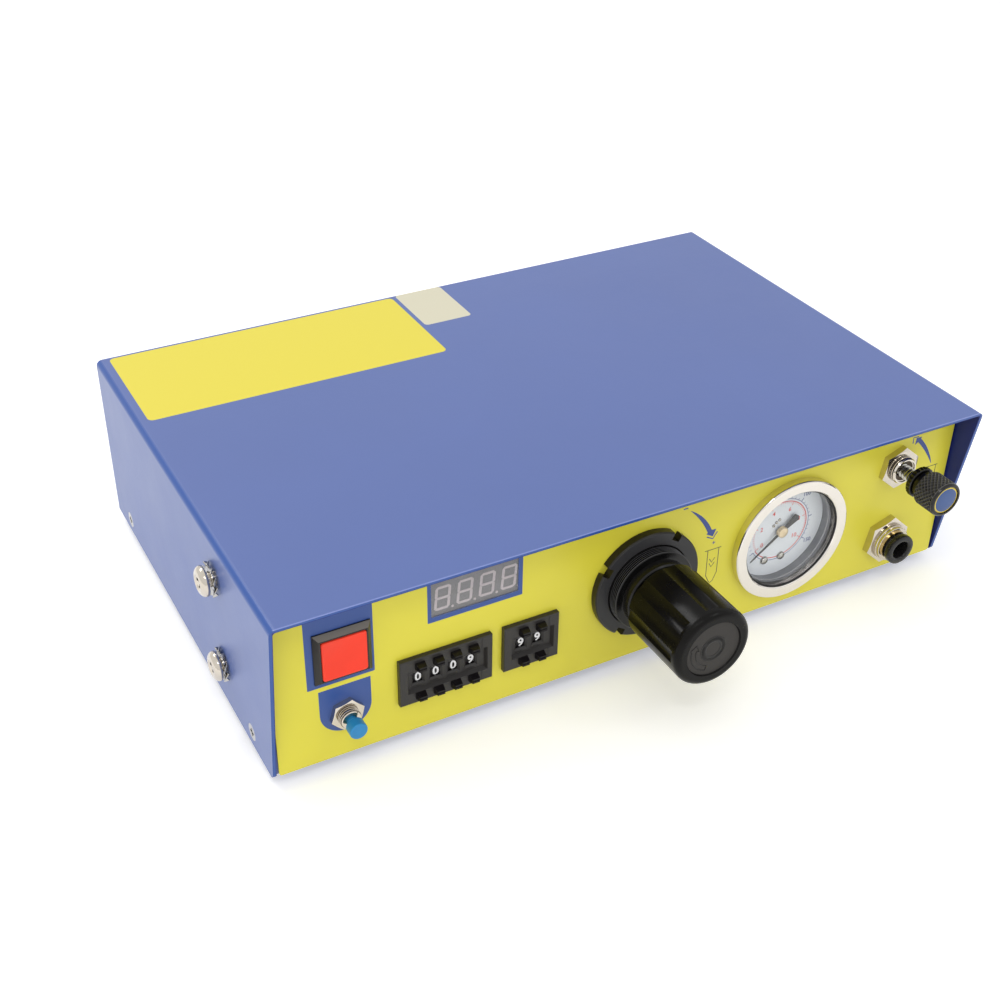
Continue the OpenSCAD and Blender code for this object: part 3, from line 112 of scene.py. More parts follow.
bpy.ops.object.select_all(action="DESELECT")
bpy.ops.mesh.primitive_plane_add(size=bench_w, location=(0, 0, 0))
bench = bpy.context.object
bench.name = "bench"
bench_sheet = bpy.data.materials.new("bench_sheet")
bench_sheet.use_nodes = True
bench_tree = bench_sheet.node_tree
for label, value in (("Base Color", colour(250, 250, 250)), ("Roughness", 0.7), ("Specular IOR Level", 0.2),
                     ("Emission Color", (1, 1, 1, 1)),
                     ("Emission Strength", maths(bench_tree, "MULTIPLY", bare_rays(bench_tree), bench_glow))):
    feed(bench_tree, bench_tree.nodes["Principled BSDF"].inputs[label], value)
bench.data.materials.append(bench_sheet)


def soft_box(name, place, aim, width, height, watts, tint=(1, 1, 1), shines=False):
    """A rectangular lamp. Only one that shines is seen itself in the gloss of the parts."""
    lamp = bpy.data.objects.new(name, bpy.data.lights.new(name, "AREA"))
    bpy.context.scene.collection.objects.link(lamp)
    lamp.data.shape = "RECTANGLE"
    lamp.data.size, lamp.data.size_y = width, height
    lamp.data.energy = watts
    lamp.data.color = tint
    lamp.location = place
    lamp.rotation_euler = (Vector(aim) - Vector(place)).to_track_quat("-Z", "Y").to_euler()
    lamp.visible_glossy = shines


soft_box("soft_box_above", (-0.25, -0.15, 1.25), (0, 0, 0), 1.4, 1.0, 2.8)
soft_box("soft_box_front", (0.25, -1.25, 0.55), (0, -0.05, 0.03), 1.2, 0.8, 2.35)
soft_box("soft_box_left", (-1.2, -0.2, 0.3), (0, 0, 0.02), 0.8, 0.5, 2.7, tint=(1.0, 0.9, 0.66))
soft_box("strip_light_front", (-0.35, -0.62, 0.95), (0, -0.05, 0.04), 0.4, 0.05, 1.2, shines=True)
soft_box("strip_light_behind", (-0.32, 0.62, 0.85), (0.05, -0.1, 0.04), 0.5, 0.08, 2.2, shines=True)
soft_box("strip_light_right", (0.5, -0.66, 0.88), (0, -0.05, 0.03), 0.22, 0.12, 0.6, shines=True)


# Cover: one steel sheet folded down at both sides, with its front edge as a hood over the panel. It has
# a satin blue powder coat and two plain stickers on its top. Painted shade darkens its folds, the faces
# turned to the front and its inside, and a painted highlight runs along the hood's front edge.
def new_group(name, outputs, **inputs):
    """A shader node group with the kinds of its outputs and the values of its inputs, and what comes in."""
    group = bpy.data.node_groups.new(name, "ShaderNodeTree")
    kinds = {float: "NodeSocketFloat", tuple: "NodeSocketVector", list: "NodeSocketColor"}
    for label, value in inputs.items():
        socket = group.interface.new_socket(label.replace("_", " "), in_out="INPUT",
                                            socket_type=kinds[type(value)])
        socket.default_value = value
    for label, kind in outputs.items():
        group.interface.new_socket(label, in_out="OUTPUT", socket_type=kinds[kind])
    return group, add_node(group, "NodeGroupInput").outputs


def grained_surface():
    """Uneven colour and gloss, and a fine grain: what every moulded, painted or cast surface has."""
    group, given = new_group(
        "grained_surface", {"Colour": list, "Roughness": float, "Height": float}, Place=(0.0, 0.0, 0.0),
        Colour=[0.5, 0.5, 0.5, 1.0], Unevenness=0.05, Patches=30.0, Roughness=0.4, Gloss_Spread=0.1,
        Grain=900.0)

    def noise(scale, detail, roughness=0.5):
        return add_node(group, "ShaderNodeTexNoise", Vector=given["Place"], Scale=scale, Detail=detail,
                        Roughness=roughness).outputs["Fac"]

    darkest, lightest = (maths(group, way, 1.0, given["Unevenness"]) for way in ("SUBTRACT", "ADD"))
    shade = add_node(group, "ShaderNodeMapRange", Value=noise(given["Patches"], 4.0, 0.6), From_Min=0.3,
                     From_Max=0.7, To_Min=darkest, To_Max=lightest)
    tinted = add_node(group, "ShaderNodeVectorMath", operation="SCALE", Vector=given["Colour"],
                      Scale=shade.outputs[0])
    smears = noise(maths(group, "MULTIPLY", given["Patches"], 3.7), 6.0, 0.65)
    spread = maths(group, "MULTIPLY", maths(group, "SUBTRACT", smears, 0.5), given["Gloss Spread"])
    add_node(group, "NodeGroupOutput", Colour=tinted.outputs[0], Height=noise(given["Grain"], 2.0),
             Roughness=maths(group, "ADD", spread, given["Roughness"]))
    return group


def rounded_patch():
    """1 inside a block with rounded edges and 0 outside it, for prints, stickers and plated areas."""
    group, given = new_group("rounded_patch", {"Mask": float}, Place=(0.0, 0.0, 0.0), Middle=(0.0, 0.0, 0.0),
                             Half_Size=(0.0, 0.0, 0.0), Corner=0.0, Softness=0.0001)
    away = given["Place"]
    for operation, *second in (("SUBTRACT", given["Middle"]), ("ABSOLUTE",), ("SUBTRACT", given["Half Size"]),
                               ("ADD", given["Corner"]), ("MAXIMUM",), ("LENGTH",)):
        away = maths(group, operation, away, *second, kind="VectorMath")
    inside = maths(group, "DIVIDE", maths(group, "SUBTRACT", given["Corner"], away), given["Softness"])
    add_node(group, "NodeGroupOutput", Mask=maths(group, "ADD", inside, 1.0, use_clamp=True))
    return group


grained_surface_group = grained_surface()
rounded_patch_group = rounded_patch()
mm = 0.001
case_corner = Vector((-126.8, -81.5, 4.5))
case_w, case_h = 259, 63.5


def in_case(across, back, up):
    """A place measured in millimetres from the case's left side, its hood's front edge and its bottom."""
    return (Vector((across, back, up)) + case_corner) * mm


class Finish:
    """A material with the grained surface in it, and room for patches of another colour or gloss."""

    def __init__(self, name, shade, roughness, metallic=0.0, unevenness=0.05, patches=30.0, gloss_spread=0.1,
                 grain=900.0, depth=0.01, **sockets):
        self.material = bpy.data.materials.new(name)
        self.material.use_nodes = True
        self.tree = self.material.node_tree
        self.place = self.node("TexCoord").outputs["Object"]
        grained = self.node("Group", node_tree=grained_surface_group, Place=self.place, Colour=shade,
                            Unevenness=unevenness, Patches=patches, Roughness=roughness,
                            Gloss_Spread=gloss_spread, Grain=grain).outputs
        self.relief = self.node("Bump", Distance=depth * mm, Height=grained["Height"]).outputs["Normal"]
        self.paint(Base_Color=grained["Colour"], Roughness=grained["Roughness"], Normal=self.relief,
                   Metallic=metallic, **sockets)

    def node(self, kind, **values):
        return add_node(self.tree, f"ShaderNode{kind}", **values)

    def socket(self, name):
        return self.tree.nodes["Principled BSDF"].inputs[name.replace("_", " ")]

    def paint(self, **values):
        for name, value in values.items():
            feed(self.tree, self.socket(name), value)

    def patch(self, middle, half, corner=0.0, softness=0.08):
        """The mask of a rounded block, with its half sides in millimetres."""
        block = self.node("Group", node_tree=rounded_patch_group, Place=self.place, Middle=middle,
                          Half_Size=Vector(half) * mm, Corner=corner * mm, Softness=softness * mm)
        return block.outputs["Mask"]

    def outside(self, mask):
        return maths(self.tree, "SUBTRACT", 1.0, mask)

    def both(self, first, second):
        return maths(self.tree, "MULTIPLY", first, second)

    def oiled_roots(self, middle, root_r, low, high, shade):
        """Paints shade into the thread roots of a round piece on the panel, from one distance out of it to
        another.
        """
        place, half = on_panel(*middle, (low + high) / 2), (high - low) / 2
        core = self.patch(place, (root_r, root_r + half, root_r), root_r, softness=0.12)
        length = self.patch(place, (20, half, 20), softness=0.05)
        self.blend(self.both(core, length), Base_Color=shade)

    def blend(self, mask, **values):
        """Lays colours or numbers over what already feeds those sockets, where the mask is 1."""
        for name, value in values.items():
            target = self.socket(name)
            before = target.links[0].from_socket if target.is_linked else target.default_value
            kind, first, result = ("FLOAT", 2, 0) if isinstance(value, float) else ("RGBA", 6, 2)
            mix = self.node("Mix", data_type=kind)
            for index, fed in ((0, mask), (first, before), (first + 1, value)):
                feed(self.tree, mix.inputs[index], fed)
            feed(self.tree, target, mix.outputs[result])

    def facing(self, direction, first, full):
        """1 on the surfaces that face that way, for painting shade on folds and edges and highlights on
        bevels.
        """
        normal = self.node("TexCoord").outputs["Normal"]
        towards = maths(self.tree, "DOT_PRODUCT", normal, Vector(direction).normalized(), kind="VectorMath")
        return self.node("MapRange", Value=towards, From_Min=first, From_Max=full).outputs[0]

    def clear(self, least, most):
        """Makes a clear sheet: its front faces dim what is behind them a little, and more at a glance."""
        glance = self.node("Fresnel", IOR=1.45).outputs[0]
        dimming = self.node("MapRange", Value=glance, To_Min=least, To_Max=most).outputs[0]
        front = self.outside(self.node("NewGeometry").outputs["Backfacing"])
        self.paint(Alpha=self.both(dimming, front))

    def raise_edge(self, mask, height):
        """Adds the mask, as a step of that height in millimetres, on top of the grain."""
        step = self.node("Bump", Distance=height * mm, Height=mask, Normal=self.relief)
        self.relief = step.outputs["Normal"]
        self.paint(Normal=self.relief)


def dress(finish, *nodes):
    for node in nodes:
        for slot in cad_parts[node].material_slots:
            slot.material = finish.material


def powder_coat(name):
    return Finish(name, colour(85, 106, 168), 0.36, unevenness=0.03, patches=12.0, gloss_spread=0.12,
                  grain=520.0, depth=0.02, Specular_IOR_Level=0.55)


cover_paint = powder_coat("powder_coat_cover")
# Painted shade: the folds between the top and the sides, and the faces turned to the front, are painted a
# darker blue.
for shaded_face in ((0, -1, 0.2), (-1, 0, 1), (1, 0, 1)):
    cover_paint.blend(cover_paint.facing(shaded_face, 0.8, 0.93), Base_Color=colour(30, 77, 156))
# Painted highlight: a lighter line along the top of the hood's front edge.
edge_highlight = cover_paint.patch(in_case(case_w / 2, 0.15, case_h), (129, 0.15, 0.15), softness=0.1)
cover_paint.blend(edge_highlight, Base_Color=colour(122, 138, 200))
# Painted shade: the cover's inside faces are painted a dark navy.
inside_shade = cover_paint.patch(in_case(case_w / 2, 85, 31.1), (128.4, 100, 31.3), softness=0.2)
cover_paint.blend(inside_shade, Base_Color=colour(10, 32, 116), Roughness=0.65)
sticker_t = 0.06
for across, back, half_w, half_d, corner, shade, roughness in (
        (60, 147.6, 55.6, 24.4, 2, colour(229, 214, 62), 0.42),
        (127.1, 159, 9.7, 14, 1.5, colour(214, 209, 184), 0.3)):
    sticker = cover_paint.patch(in_case(across, back, case_h), (half_w, half_d, 3), corner)
    cover_paint.blend(sticker, Base_Color=shade, Roughness=roughness)
    cover_paint.raise_edge(sticker, sticker_t)
dress(cover_paint, "top_cover")

# Tray: the floor, the front wall behind the overlay and the rear wall, punched and folded from one sheet
# and painted as the cover is.
dress(powder_coat("powder_coat_tray"), "chassis")

# Cover screws: countersunk steel screws with a cross recess, zinc plated and driven flush into both sides
# of the cover. Two more hold the mains inlet, and screws of the same finish hold the feet.
zinc = Finish("zinc_plated_steel", colour(180, 178, 174), 0.24, metallic=1.0, unevenness=0.06, patches=300.0,
              gloss_spread=0.2, grain=4000.0, depth=0.004)
dress(zinc, "case_screws", "foot_screws")

# Feet: matte black rubber feet, moulded with a hollow in which a screw holds each to the tray's floor.
# They lift the case off the bench.
rubber = Finish("black_rubber", colour(30, 30, 31), 0.75, unevenness=0.12, patches=200.0, grain=2500.0,
                depth=0.03)
dress(rubber, "rubber_feet")


# Star washers: spring steel rings under the stand screws. Each is punched with ten teeth, which are then
# twisted so that they bite into the paint.
def start_fresh():
    """Leaves edit mode with nothing selected, so that the next operator acts on the new piece alone."""
    if bpy.context.object and bpy.context.object.mode != "OBJECT":
        bpy.ops.object.mode_set(mode="OBJECT")
    bpy.ops.object.select_all(action="DESELECT")


def choose(piece):
    """Selects that piece alone and makes it the active one, in object mode."""
    start_fresh()
    piece.select_set(True)
    bpy.context.view_layer.objects.active = piece


def edit(piece):
    choose(piece)
    bpy.ops.object.mode_set(mode="EDIT")


def pick_all():
    bpy.ops.mesh.select_all(action="SELECT")


def pick(piece, kind, test):
    """Selects the faces, edges or verts of the piece in edit mode whose middle passes the test."""
    bpy.ops.mesh.select_mode(type={"faces": "FACE", "edges": "EDGE", "verts": "VERT"}[kind])
    bpy.ops.mesh.select_all(action="DESELECT")
    shape = bmesh.from_edit_mesh(piece.data)
    for part in getattr(shape, kind):
        corners = [part.co] if kind == "verts" else [vert.co for vert in part.verts]
        part.select_set(bool(test(sum(corners, Vector()) / len(corners), part)))
    bmesh.update_edit_mesh(piece.data)


def seat(piece, body, slot, replaced=None):
    """Sets the body that carries the piece and hides the CAD node that it replaces. The slot is not used."""
    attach(piece, body)
    if replaced:
        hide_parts(replaced)


def finish_piece(piece, name, finish, *seating, smooth=35):
    """Applies the modifiers and the place, sets the shading and the finish, and names and seats the piece."""
    choose(piece)
    for modifier in list(piece.modifiers):
        bpy.ops.object.modifier_apply(modifier=modifier.name)
    bpy.ops.object.transform_apply(location=True, rotation=True, scale=True)
    bpy.ops.object.shade_smooth_by_angle(angle=math.radians(smooth))
    piece.data.materials.clear()
    piece.data.materials.append(finish.material)
    piece.name = piece.data.name = name
    seat(piece, *seating)


def copy_piece(piece, name, move, *seating):
    """A copy with its own mesh, moved by that many millimetres, and seated if it says where."""
    twin = piece.copy()
    twin.data = piece.data.copy()
    bpy.context.scene.collection.objects.link(twin)
    twin.data.transform(Matrix.Translation(Vector(move) * mm))
    twin.name = twin.data.name = name
    if seating:
        seat(twin, *seating)
    return twin


washer_r, washer_root_r, washer_bore_r, washer_sheet_t = 5.65, 4.25, 2.56, 0.45
washer_teeth, washer_twist = 10, 0.66
washer_out, upper_washer_lift = 0.95, 0.267
stand_back, stand_up, stand_gap = 48.4, 16.3, 33.3

start_fresh()
bpy.ops.mesh.primitive_circle_add(vertices=4 * washer_teeth, radius=washer_root_r * mm, fill_type="NGON",
                                  location=(0, 0, 0))
washer = bpy.context.object
edit(washer)
pick_all()
bpy.ops.mesh.inset(thickness=(washer_root_r - washer_bore_r) * mm)
pick(washer, "faces", lambda middle, face: middle.length < 0.1 * mm)
bpy.ops.mesh.delete(type="FACE")


def in_tooth(middle, edge):
    turn_share = math.atan2(middle.y, middle.x) / math.tau * washer_teeth % 1
    return middle.length > (washer_root_r - 0.2) * mm and turn_share < 0.5


pick(washer, "edges", in_tooth)
bpy.ops.mesh.extrude_edges_move()
bpy.ops.transform.resize(value=[washer_r / washer_root_r] * 3, center_override=(0, 0, 0))
bpy.ops.object.mode_set(mode="OBJECT")
for vert in washer.data.vertices:
    if vert.co.length > (washer_root_r + 0.3) * mm:
        turn_share = (math.atan2(vert.co.y, vert.co.x) / math.tau * washer_teeth + 0.2) % 1 - 0.2
        vert.co.z = (0.25 - turn_share) * 4 * washer_twist * mm
sheet = washer.modifiers.new("sheet", "SOLIDIFY")
sheet.thickness, sheet.offset = washer_sheet_t * mm, 0
rim = washer.modifiers.new("rim", "BEVEL")
rim.width, rim.segments, rim.limit_method = 0.08 * mm, 2, "ANGLE"
washer.rotation_euler = (0, math.radians(-90), 0)
washer.location = in_case(-washer_out, stand_back, stand_up)
washer_seating = ("root", "steel", "stand_star_washers")
finish_piece(washer, "star_washer_lower", zinc, *washer_seating)
copy_piece(washer, "star_washer_upper", (-upper_washer_lift, 0, stand_gap), *washer_seating)

# Stand screws: two nickel-plated screws that later hold the syringe stand on the left side. Each has a thick
# rounded head, dished round its cross recess, and the upper one is backed out a little.
plated = {"metallic": 1.0, "patches": 260.0, "grain": 3000.0, "depth": 0.004}
nickel = Finish("nickel_plate", colour(204, 196, 184), 0.16, gloss_spread=0.18, **plated)
stand_screw_profile = [(0, -7.9), (2.0, -7.9), (2.35, -7.5), (2.35, 0), (4.5, 0), (4.8, 0.12), (4.95, 0.45),
                       (4.93, 0.95), (4.78, 1.45), (4.45, 1.93), (3.95, 2.35), (3.4, 2.6), (2.95, 2.66),
                       (2.65, 2.56), (2.25, 2.2), (1.7, 1.96), (0.9, 1.86), (0, 1.84)]
cross_l, cross_w, cross_cut, cross_floor = 4.1, 1.0, 4, 0.9
screw_out, backed_out = 1.9, 0.8


def draw_chain(points):
    """A new piece that starts as one vertex and is extruded from point to point, left in edit mode."""
    start_fresh()
    bpy.ops.mesh.primitive_plane_add(size=mm, location=(0, 0, 0))
    piece = bpy.context.object
    bpy.ops.object.mode_set(mode="EDIT")
    bpy.ops.mesh.select_mode(type="VERT")
    pick_all()
    bpy.ops.mesh.merge(type="CENTER")
    pick_all()
    bpy.ops.transform.translate(value=points[0])
    for start, end in zip(points, points[1:]):
        bpy.ops.mesh.extrude_vertices_move(TRANSFORM_OT_translate={"value": Vector(end) - Vector(start)})
    return piece


def merge_all():
    pick_all()
    bpy.ops.mesh.remove_doubles(threshold=0.0005 * mm)


def tidy_mesh():
    """Merges doubled vertices and points the faces outwards, in edit mode."""
    merge_all()
    bpy.ops.mesh.normals_make_consistent(inside=False)


def turned(profile, steps=64, place=(0, 0, 0)):
    """A turned piece about the axis that runs out of the panel: radius and distance out, spun full round."""
    piece = draw_chain([(radius * mm, -out * mm, 0) for radius, out in profile])
    pick_all()
    bpy.ops.mesh.spin(steps=steps, angle=math.tau, center=(0, 0, 0), axis=(0, 1, 0))
    tidy_mesh()
    piece.location = place
    return piece


def start_block(middle, sides):
    """A plain block to be shaped, with its sides in millimetres."""
    start_fresh()
    bpy.ops.mesh.primitive_cube_add(size=1, location=middle, scale=[side * mm for side in sides])
    return bpy.context.object


stand_screw = turned(stand_screw_profile)
for arm_sides in ((cross_l, cross_cut, cross_w), (cross_w, cross_cut, cross_l)):
    arm = start_block((0, -(cross_floor + cross_cut / 2) * mm, 0), arm_sides)
    recess = stand_screw.modifiers.new("recess", "BOOLEAN")
    recess.object, recess.operation, recess.solver = arm, "DIFFERENCE", "EXACT"
    choose(stand_screw)
    bpy.ops.object.modifier_apply(modifier="recess")
    bpy.data.objects.remove(arm)
stand_screw.rotation_euler = (0, 0, math.radians(-90))
stand_screw.location = in_case(-screw_out, stand_back, stand_up)
screw_seating = ("root", "nickel", "stand_screws")
finish_piece(stand_screw, "stand_screw_lower", nickel, *screw_seating, smooth=30)
copy_piece(stand_screw, "stand_screw_upper", (-backed_out, 0, stand_gap), *screw_seating)

# Front overlay: a textured polycarbonate film, printed yellow and blue on its back and glued to the tray's
# front wall. The blue fields stand behind the power switch, the shot button and the display.
panel_back = 9.5
film = Finish("printed_film", colour(229, 219, 66), 0.38, unevenness=0.025, patches=18.0, gloss_spread=0.08,
              grain=2600.0, depth=0.012, Specular_IOR_Level=0.5)
print_blue = colour(50, 82, 152)


def on_panel(across, up, out=0.0):
    """A place across and up the front panel, and that far out of it."""
    return in_case(across, panel_back - out, up)


for across, up, half_w, half_h in ((23.65, 50, 10.75, 20.5), (68.2, 48.9, 16.1, 8.5)):
    film.blend(film.patch(on_panel(across, up), (half_w, 2, half_h), 0.3), Base_Color=print_blue)
shot_field = film.patch(on_panel(24.55, 29.0), (8.35, 9, 18.8), 8.35)
shot_field_top = film.patch(on_panel(24.55, 17.8), (9, 9, 10))
film.blend(film.both(shot_field, shot_field_top), Base_Color=print_blue)
dress(film, "front_overlay")


# Printed signs: the arrows that say which way the regulator and the vacuum valve turn, a small minus and
# plus, and line drawings of a syringe, screen printed on the overlay.
def cut_shape(outline, out, thickness):
    """A flat shape on the panel: its outline in the case's across and up, filled and given a thickness."""
    points = [on_panel(x, z, out) for x, z in outline]
    piece = draw_chain(points + points[:1])
    merge_all()
    bpy.ops.mesh.fill()
    bpy.ops.mesh.extrude_region_move(TRANSFORM_OT_translate={"value": (0, -thickness * mm, 0)})
    tidy_mesh()
    return piece


def draw_line(points, out, width, thickness, closed=False):
    """A printed or moulded line on the panel: a round wire along the points, flattened to its thickness."""
    places = [on_panel(x, z) for x, z in points]
    draw_chain(places + places[:1] if closed else places)
    merge_all()
    bpy.ops.object.mode_set(mode="OBJECT")
    bpy.ops.object.convert(target="CURVE")
    wire = bpy.context.object.data
    wire.bevel_depth, wire.bevel_resolution, wire.use_fill_caps = width / 2 * mm, 1, True
    bpy.ops.object.convert(target="MESH")
    line = bpy.context.object
    middle = on_panel(0, 0).y
    line.data.transform(Matrix.Translation((0, middle - out * mm, 0))
                        @ Matrix.Diagonal((1, thickness / width, 1, 1)) @ Matrix.Translation((0, -middle, 0)))
    return line


def join_pieces(pieces):
    choose(pieces[0])
    for piece in pieces:
        piece.select_set(True)
    if len(pieces) > 1:
        bpy.ops.object.join()
    return pieces[0]


def point_round(middle, radius, turn):
    """The place across and up that lies at that radius and angle from a middle."""
    angle = math.radians(turn)
    return middle[0] + radius * math.cos(angle), middle[1] + radius * math.sin(angle)


def sweeping_arrow(middle, radius, tail, neck, tip, neck_w, barbs):
    """An arrow's outline, which swells along an arc from a pointed tail to the neck and ends in a head."""
    outer, inner = [], []
    for step in range(11):
        share = step / 10
        turn = tail + (neck - tail) * share
        half = neck_w / 2 * (1 - (1 - share) ** 2.2) + 0.05
        outer.append(point_round(middle, radius + half, turn))
        inner.append(point_round(middle, radius - half, turn))
    return outer + [barbs[0], tip, barbs[1]] + inner[::-1]


regulator_middle = (129.3, 30.2)
ink = {"patches": 400.0, "grain": 3000.0, "depth": 0.004}
ink_blue = Finish("blue_ink", colour(52, 74, 146), 0.45, **ink)
ink_dark = Finish("dark_ink", colour(66, 68, 60), 0.45, **ink)
ink_t, thin_line, bold_line = 0.03, 0.32, 0.55
pressure_arrow = sweeping_arrow(regulator_middle, 27.35, 53.3, 24.3, (155.71, 39.02), 1.6,
                                ((156.77, 41.74), (152.95, 40.62)))
vacuum_arrow = sweeping_arrow((213.3, 24.7), 39.2, 23.6, 44.3, (239.72, 53.39), 1.5,
                              ((242.08, 53.3), (239.56, 50.65)))
for name, outline in (("pressure_arrow_print", pressure_arrow), ("vacuum_arrow_print", vacuum_arrow)):
    finish_piece(cut_shape(outline, 0, ink_t), name, ink_blue, "root", "overlay_yellow")


def ink_line(points, width=thin_line):
    return draw_line(points, 0, width, 2 * ink_t)


def syringe_lines(top, scale, chevrons):
    """The line drawing of a syringe, hung from the middle of its flange."""
    flange = [(-3.25, 0), (3.25, 0)]
    barrel = [(-2.05, 0), (-1.88, -10.28), (-0.65, -12.93), (0.07, -13.82), (1.09, -13.21), (2.43, -10.04),
              (2.35, 0)]
    marks = [[(-1.05, low), (-0.1, high), (1.1, low)] for low, high in chevrons]
    return [ink_line([(top[0] + x * scale, top[1] + z * scale) for x, z in line])
            for line in [flange, barrel] + marks]


pressure_signs = [ink_line([(153.29, 39.4), (155.82, 38.07), (157.38, 40.48)], bold_line),
                  ink_line([(142.76, 53.6), (144.53, 53.6)], bold_line),
                  ink_line([(155.75, 36.3), (156.95, 36.3)]), ink_line([(156.35, 35.7), (156.35, 36.9)])]
vacuum_signs = [ink_line([(238.49, 51.51), (238.32, 53.87), (240.67, 53.78)], bold_line)]
pressure_syringe = syringe_lines((156.45, 33.6), 1.0, ((-3.7, -5.3), (-5.5, -7.2)))
vacuum_syringe = syringe_lines((249.9, 39.3), 0.78, ((-5.3, -3.7), (-7.2, -5.5)))
for name, lines, shade in (("pressure_signs_print", pressure_signs, ink_blue),
                           ("vacuum_signs_print", vacuum_signs, ink_blue),
                           ("pressure_syringe_print", pressure_syringe, ink_dark),
                           ("vacuum_syringe_print", vacuum_syringe, ink_dark)):
    finish_piece(join_pieces(lines), name, shade, "root", "overlay_yellow")


# Power switch: a square moulded housing with a bevelled bezel, clipped into the panel, and the red lamp
# button that slides in it. The button's face is sunk inside a narrow rim.
def moulding(name, shade, roughness, **changes):
    """Moulded plastic, with what sets one moulding apart from the others."""
    look = {"unevenness": 0.06, "patches": 150.0, "gloss_spread": 0.12, "grain": 2400.0, "depth": 0.012,
            "Specular_IOR_Level": 0.35}
    return Finish(name, shade, roughness, **{**look, **changes})


bezel_moulding = moulding("bezel_moulding", colour(44, 42, 41), 0.36, patches=120.0, depth=0.02)
# Painted highlight: the bezel's faces turned up and to the front are painted lighter.
bezel_moulding.blend(bezel_moulding.facing((0, -1, 1), 0.85, 0.97), Base_Color=colour(116, 111, 103))
dress(bezel_moulding, "power_switch_housing")

red_lens = Finish("red_lens", colour(252, 60, 34), 0.32, unevenness=0.03, patches=90.0, grain=1500.0,
                  depth=0.006, Specular_IOR_Level=0.35)
power_middle, power_w, power_depth, power_face = (24.4, 40.2), 14.2, 6.0, 2.4
power_corner_r, power_edge_r, power_rim_w, power_slope_w, power_sink = 0.8, 0.25, 0.5, 0.25, 0.12
power_cap = start_block(on_panel(*power_middle, power_face - power_depth / 2),
                        (power_w, power_depth, power_w))
bpy.ops.object.transform_apply(location=True, rotation=True, scale=True)
edit(power_cap)
pick(power_cap, "edges", lambda middle, edge: abs((edge.verts[0].co - edge.verts[1].co).y) > 1 * mm)
bpy.ops.mesh.bevel(offset=power_corner_r * mm, segments=5, affect="EDGES")
front_y = on_panel(0, 0, power_face).y
pick(power_cap, "faces", lambda middle, face: abs(middle.y - front_y) < 0.01 * mm)
bpy.ops.mesh.inset(thickness=power_rim_w * mm)
bpy.ops.mesh.inset(thickness=power_slope_w * mm)
bpy.ops.transform.translate(value=(0, power_sink * mm, 0))
pick(power_cap, "edges", lambda middle, edge: all(abs(v.co.y - front_y) < 0.01 * mm for v in edge.verts)
     and any(abs(face.normal.y) < 0.3 for face in edge.link_faces))
bpy.ops.mesh.bevel(offset=power_edge_r * mm, segments=3, affect="EDGES")
finish_piece(power_cap, "power_button_lens", red_lens, "power_button", "button_red", "power_button")


# Display: a four-digit light-emitting module with unlit segments, moulded grey and soldered to its own
# green board, behind the overlay's hazy clear window.
def laminate(name):
    return Finish(name, colour(22, 92, 52), 0.35, unevenness=0.1, patches=320.0, grain=1800.0, depth=0.02)


display_middle = (68.1, 48.4)
module_face = Finish("display_face", colour(146, 145, 148), 0.55, patches=90.0, grain=1800.0)
module_sides = module_face.patch(on_panel(*display_middle, -15), (40, 14.2, 20), softness=0.1)
module_face.blend(module_sides, Base_Color=colour(40, 40, 42))
haze = Finish("hazy_window", colour(158, 158, 160), 0.32, patches=60.0, grain=2600.0, depth=0.012)
haze.clear(0.26, 0.9)
dress(haze, "display_window")
segment_white = Finish("segment_diffuser", colour(232, 222, 226), 0.5, unevenness=0.04, patches=500.0,
                       grain=3000.0, depth=0.004)
digit_w, digit_h, digit_pitch, digit_slant, segment_w = 5.2, 8.6, 7.5, 0.75, 0.86
digit_across, digit_up, point_across, point_up, point_r = 57.4, 48.1, 60.7, 43.8, 0.45
segment_back, segment_front = 0.68, 0.56
segment_depth, segment_middle = segment_back - segment_front, (segment_back + segment_front) / 2
segment_gap, segment_tip = 0.35, 0.08
module_front, module_back, module_w, module_h = 0.64, 7.5, 30.1, 13.9
module_board_t, module_board_w, module_board_h = 1.6, 38.2, 20


def bevelled_block(middle, sides, bevel):
    """A block with all its edges bevelled, in object mode."""
    block = start_block(middle, sides)
    edit(block)
    pick_all()
    bpy.ops.mesh.bevel(offset=bevel * mm, segments=2, affect="EDGES")
    bpy.ops.object.mode_set(mode="OBJECT")
    return block


module_case = bevelled_block(on_panel(*display_middle, -(module_front + module_back) / 2),
                             (module_w, module_back - module_front, module_h), 0.2)
finish_piece(module_case, "display_case", module_face, "root", "dark_plastic", "display_module")
module_board = bevelled_block(on_panel(*display_middle, -(module_back + module_board_t / 2)),
                              (module_board_w, module_board_t, module_board_h), 0.15)
finish_piece(module_board, "display_board", laminate("module_laminate"), "root", "board_green",
             "display_module")


def segment(across, up, length, upright):
    """One light segment: a bar whose two ends are drawn out to blunt points."""
    bar = start_block((0, 0, 0), (length - segment_w, segment_depth, segment_w))
    bpy.ops.object.transform_apply(location=True, rotation=True, scale=True)
    edit(bar)
    for side in (-1, 1):
        pick(bar, "faces", lambda spot, face: face.normal.x * side > 0.9)
        bpy.ops.mesh.extrude_region_move(
            TRANSFORM_OT_translate={"value": (side * (segment_w / 2 - segment_tip) * mm, 0, 0)})
        bpy.ops.transform.resize(value=(1, 1, 0.2))
    bpy.ops.object.mode_set(mode="OBJECT")
    if upright:
        bar.rotation_euler = (0, math.radians(90), 0)
    bar.location = on_panel(across, up, -segment_middle)
    bpy.ops.object.transform_apply(location=True, rotation=True, scale=True)
    return bar


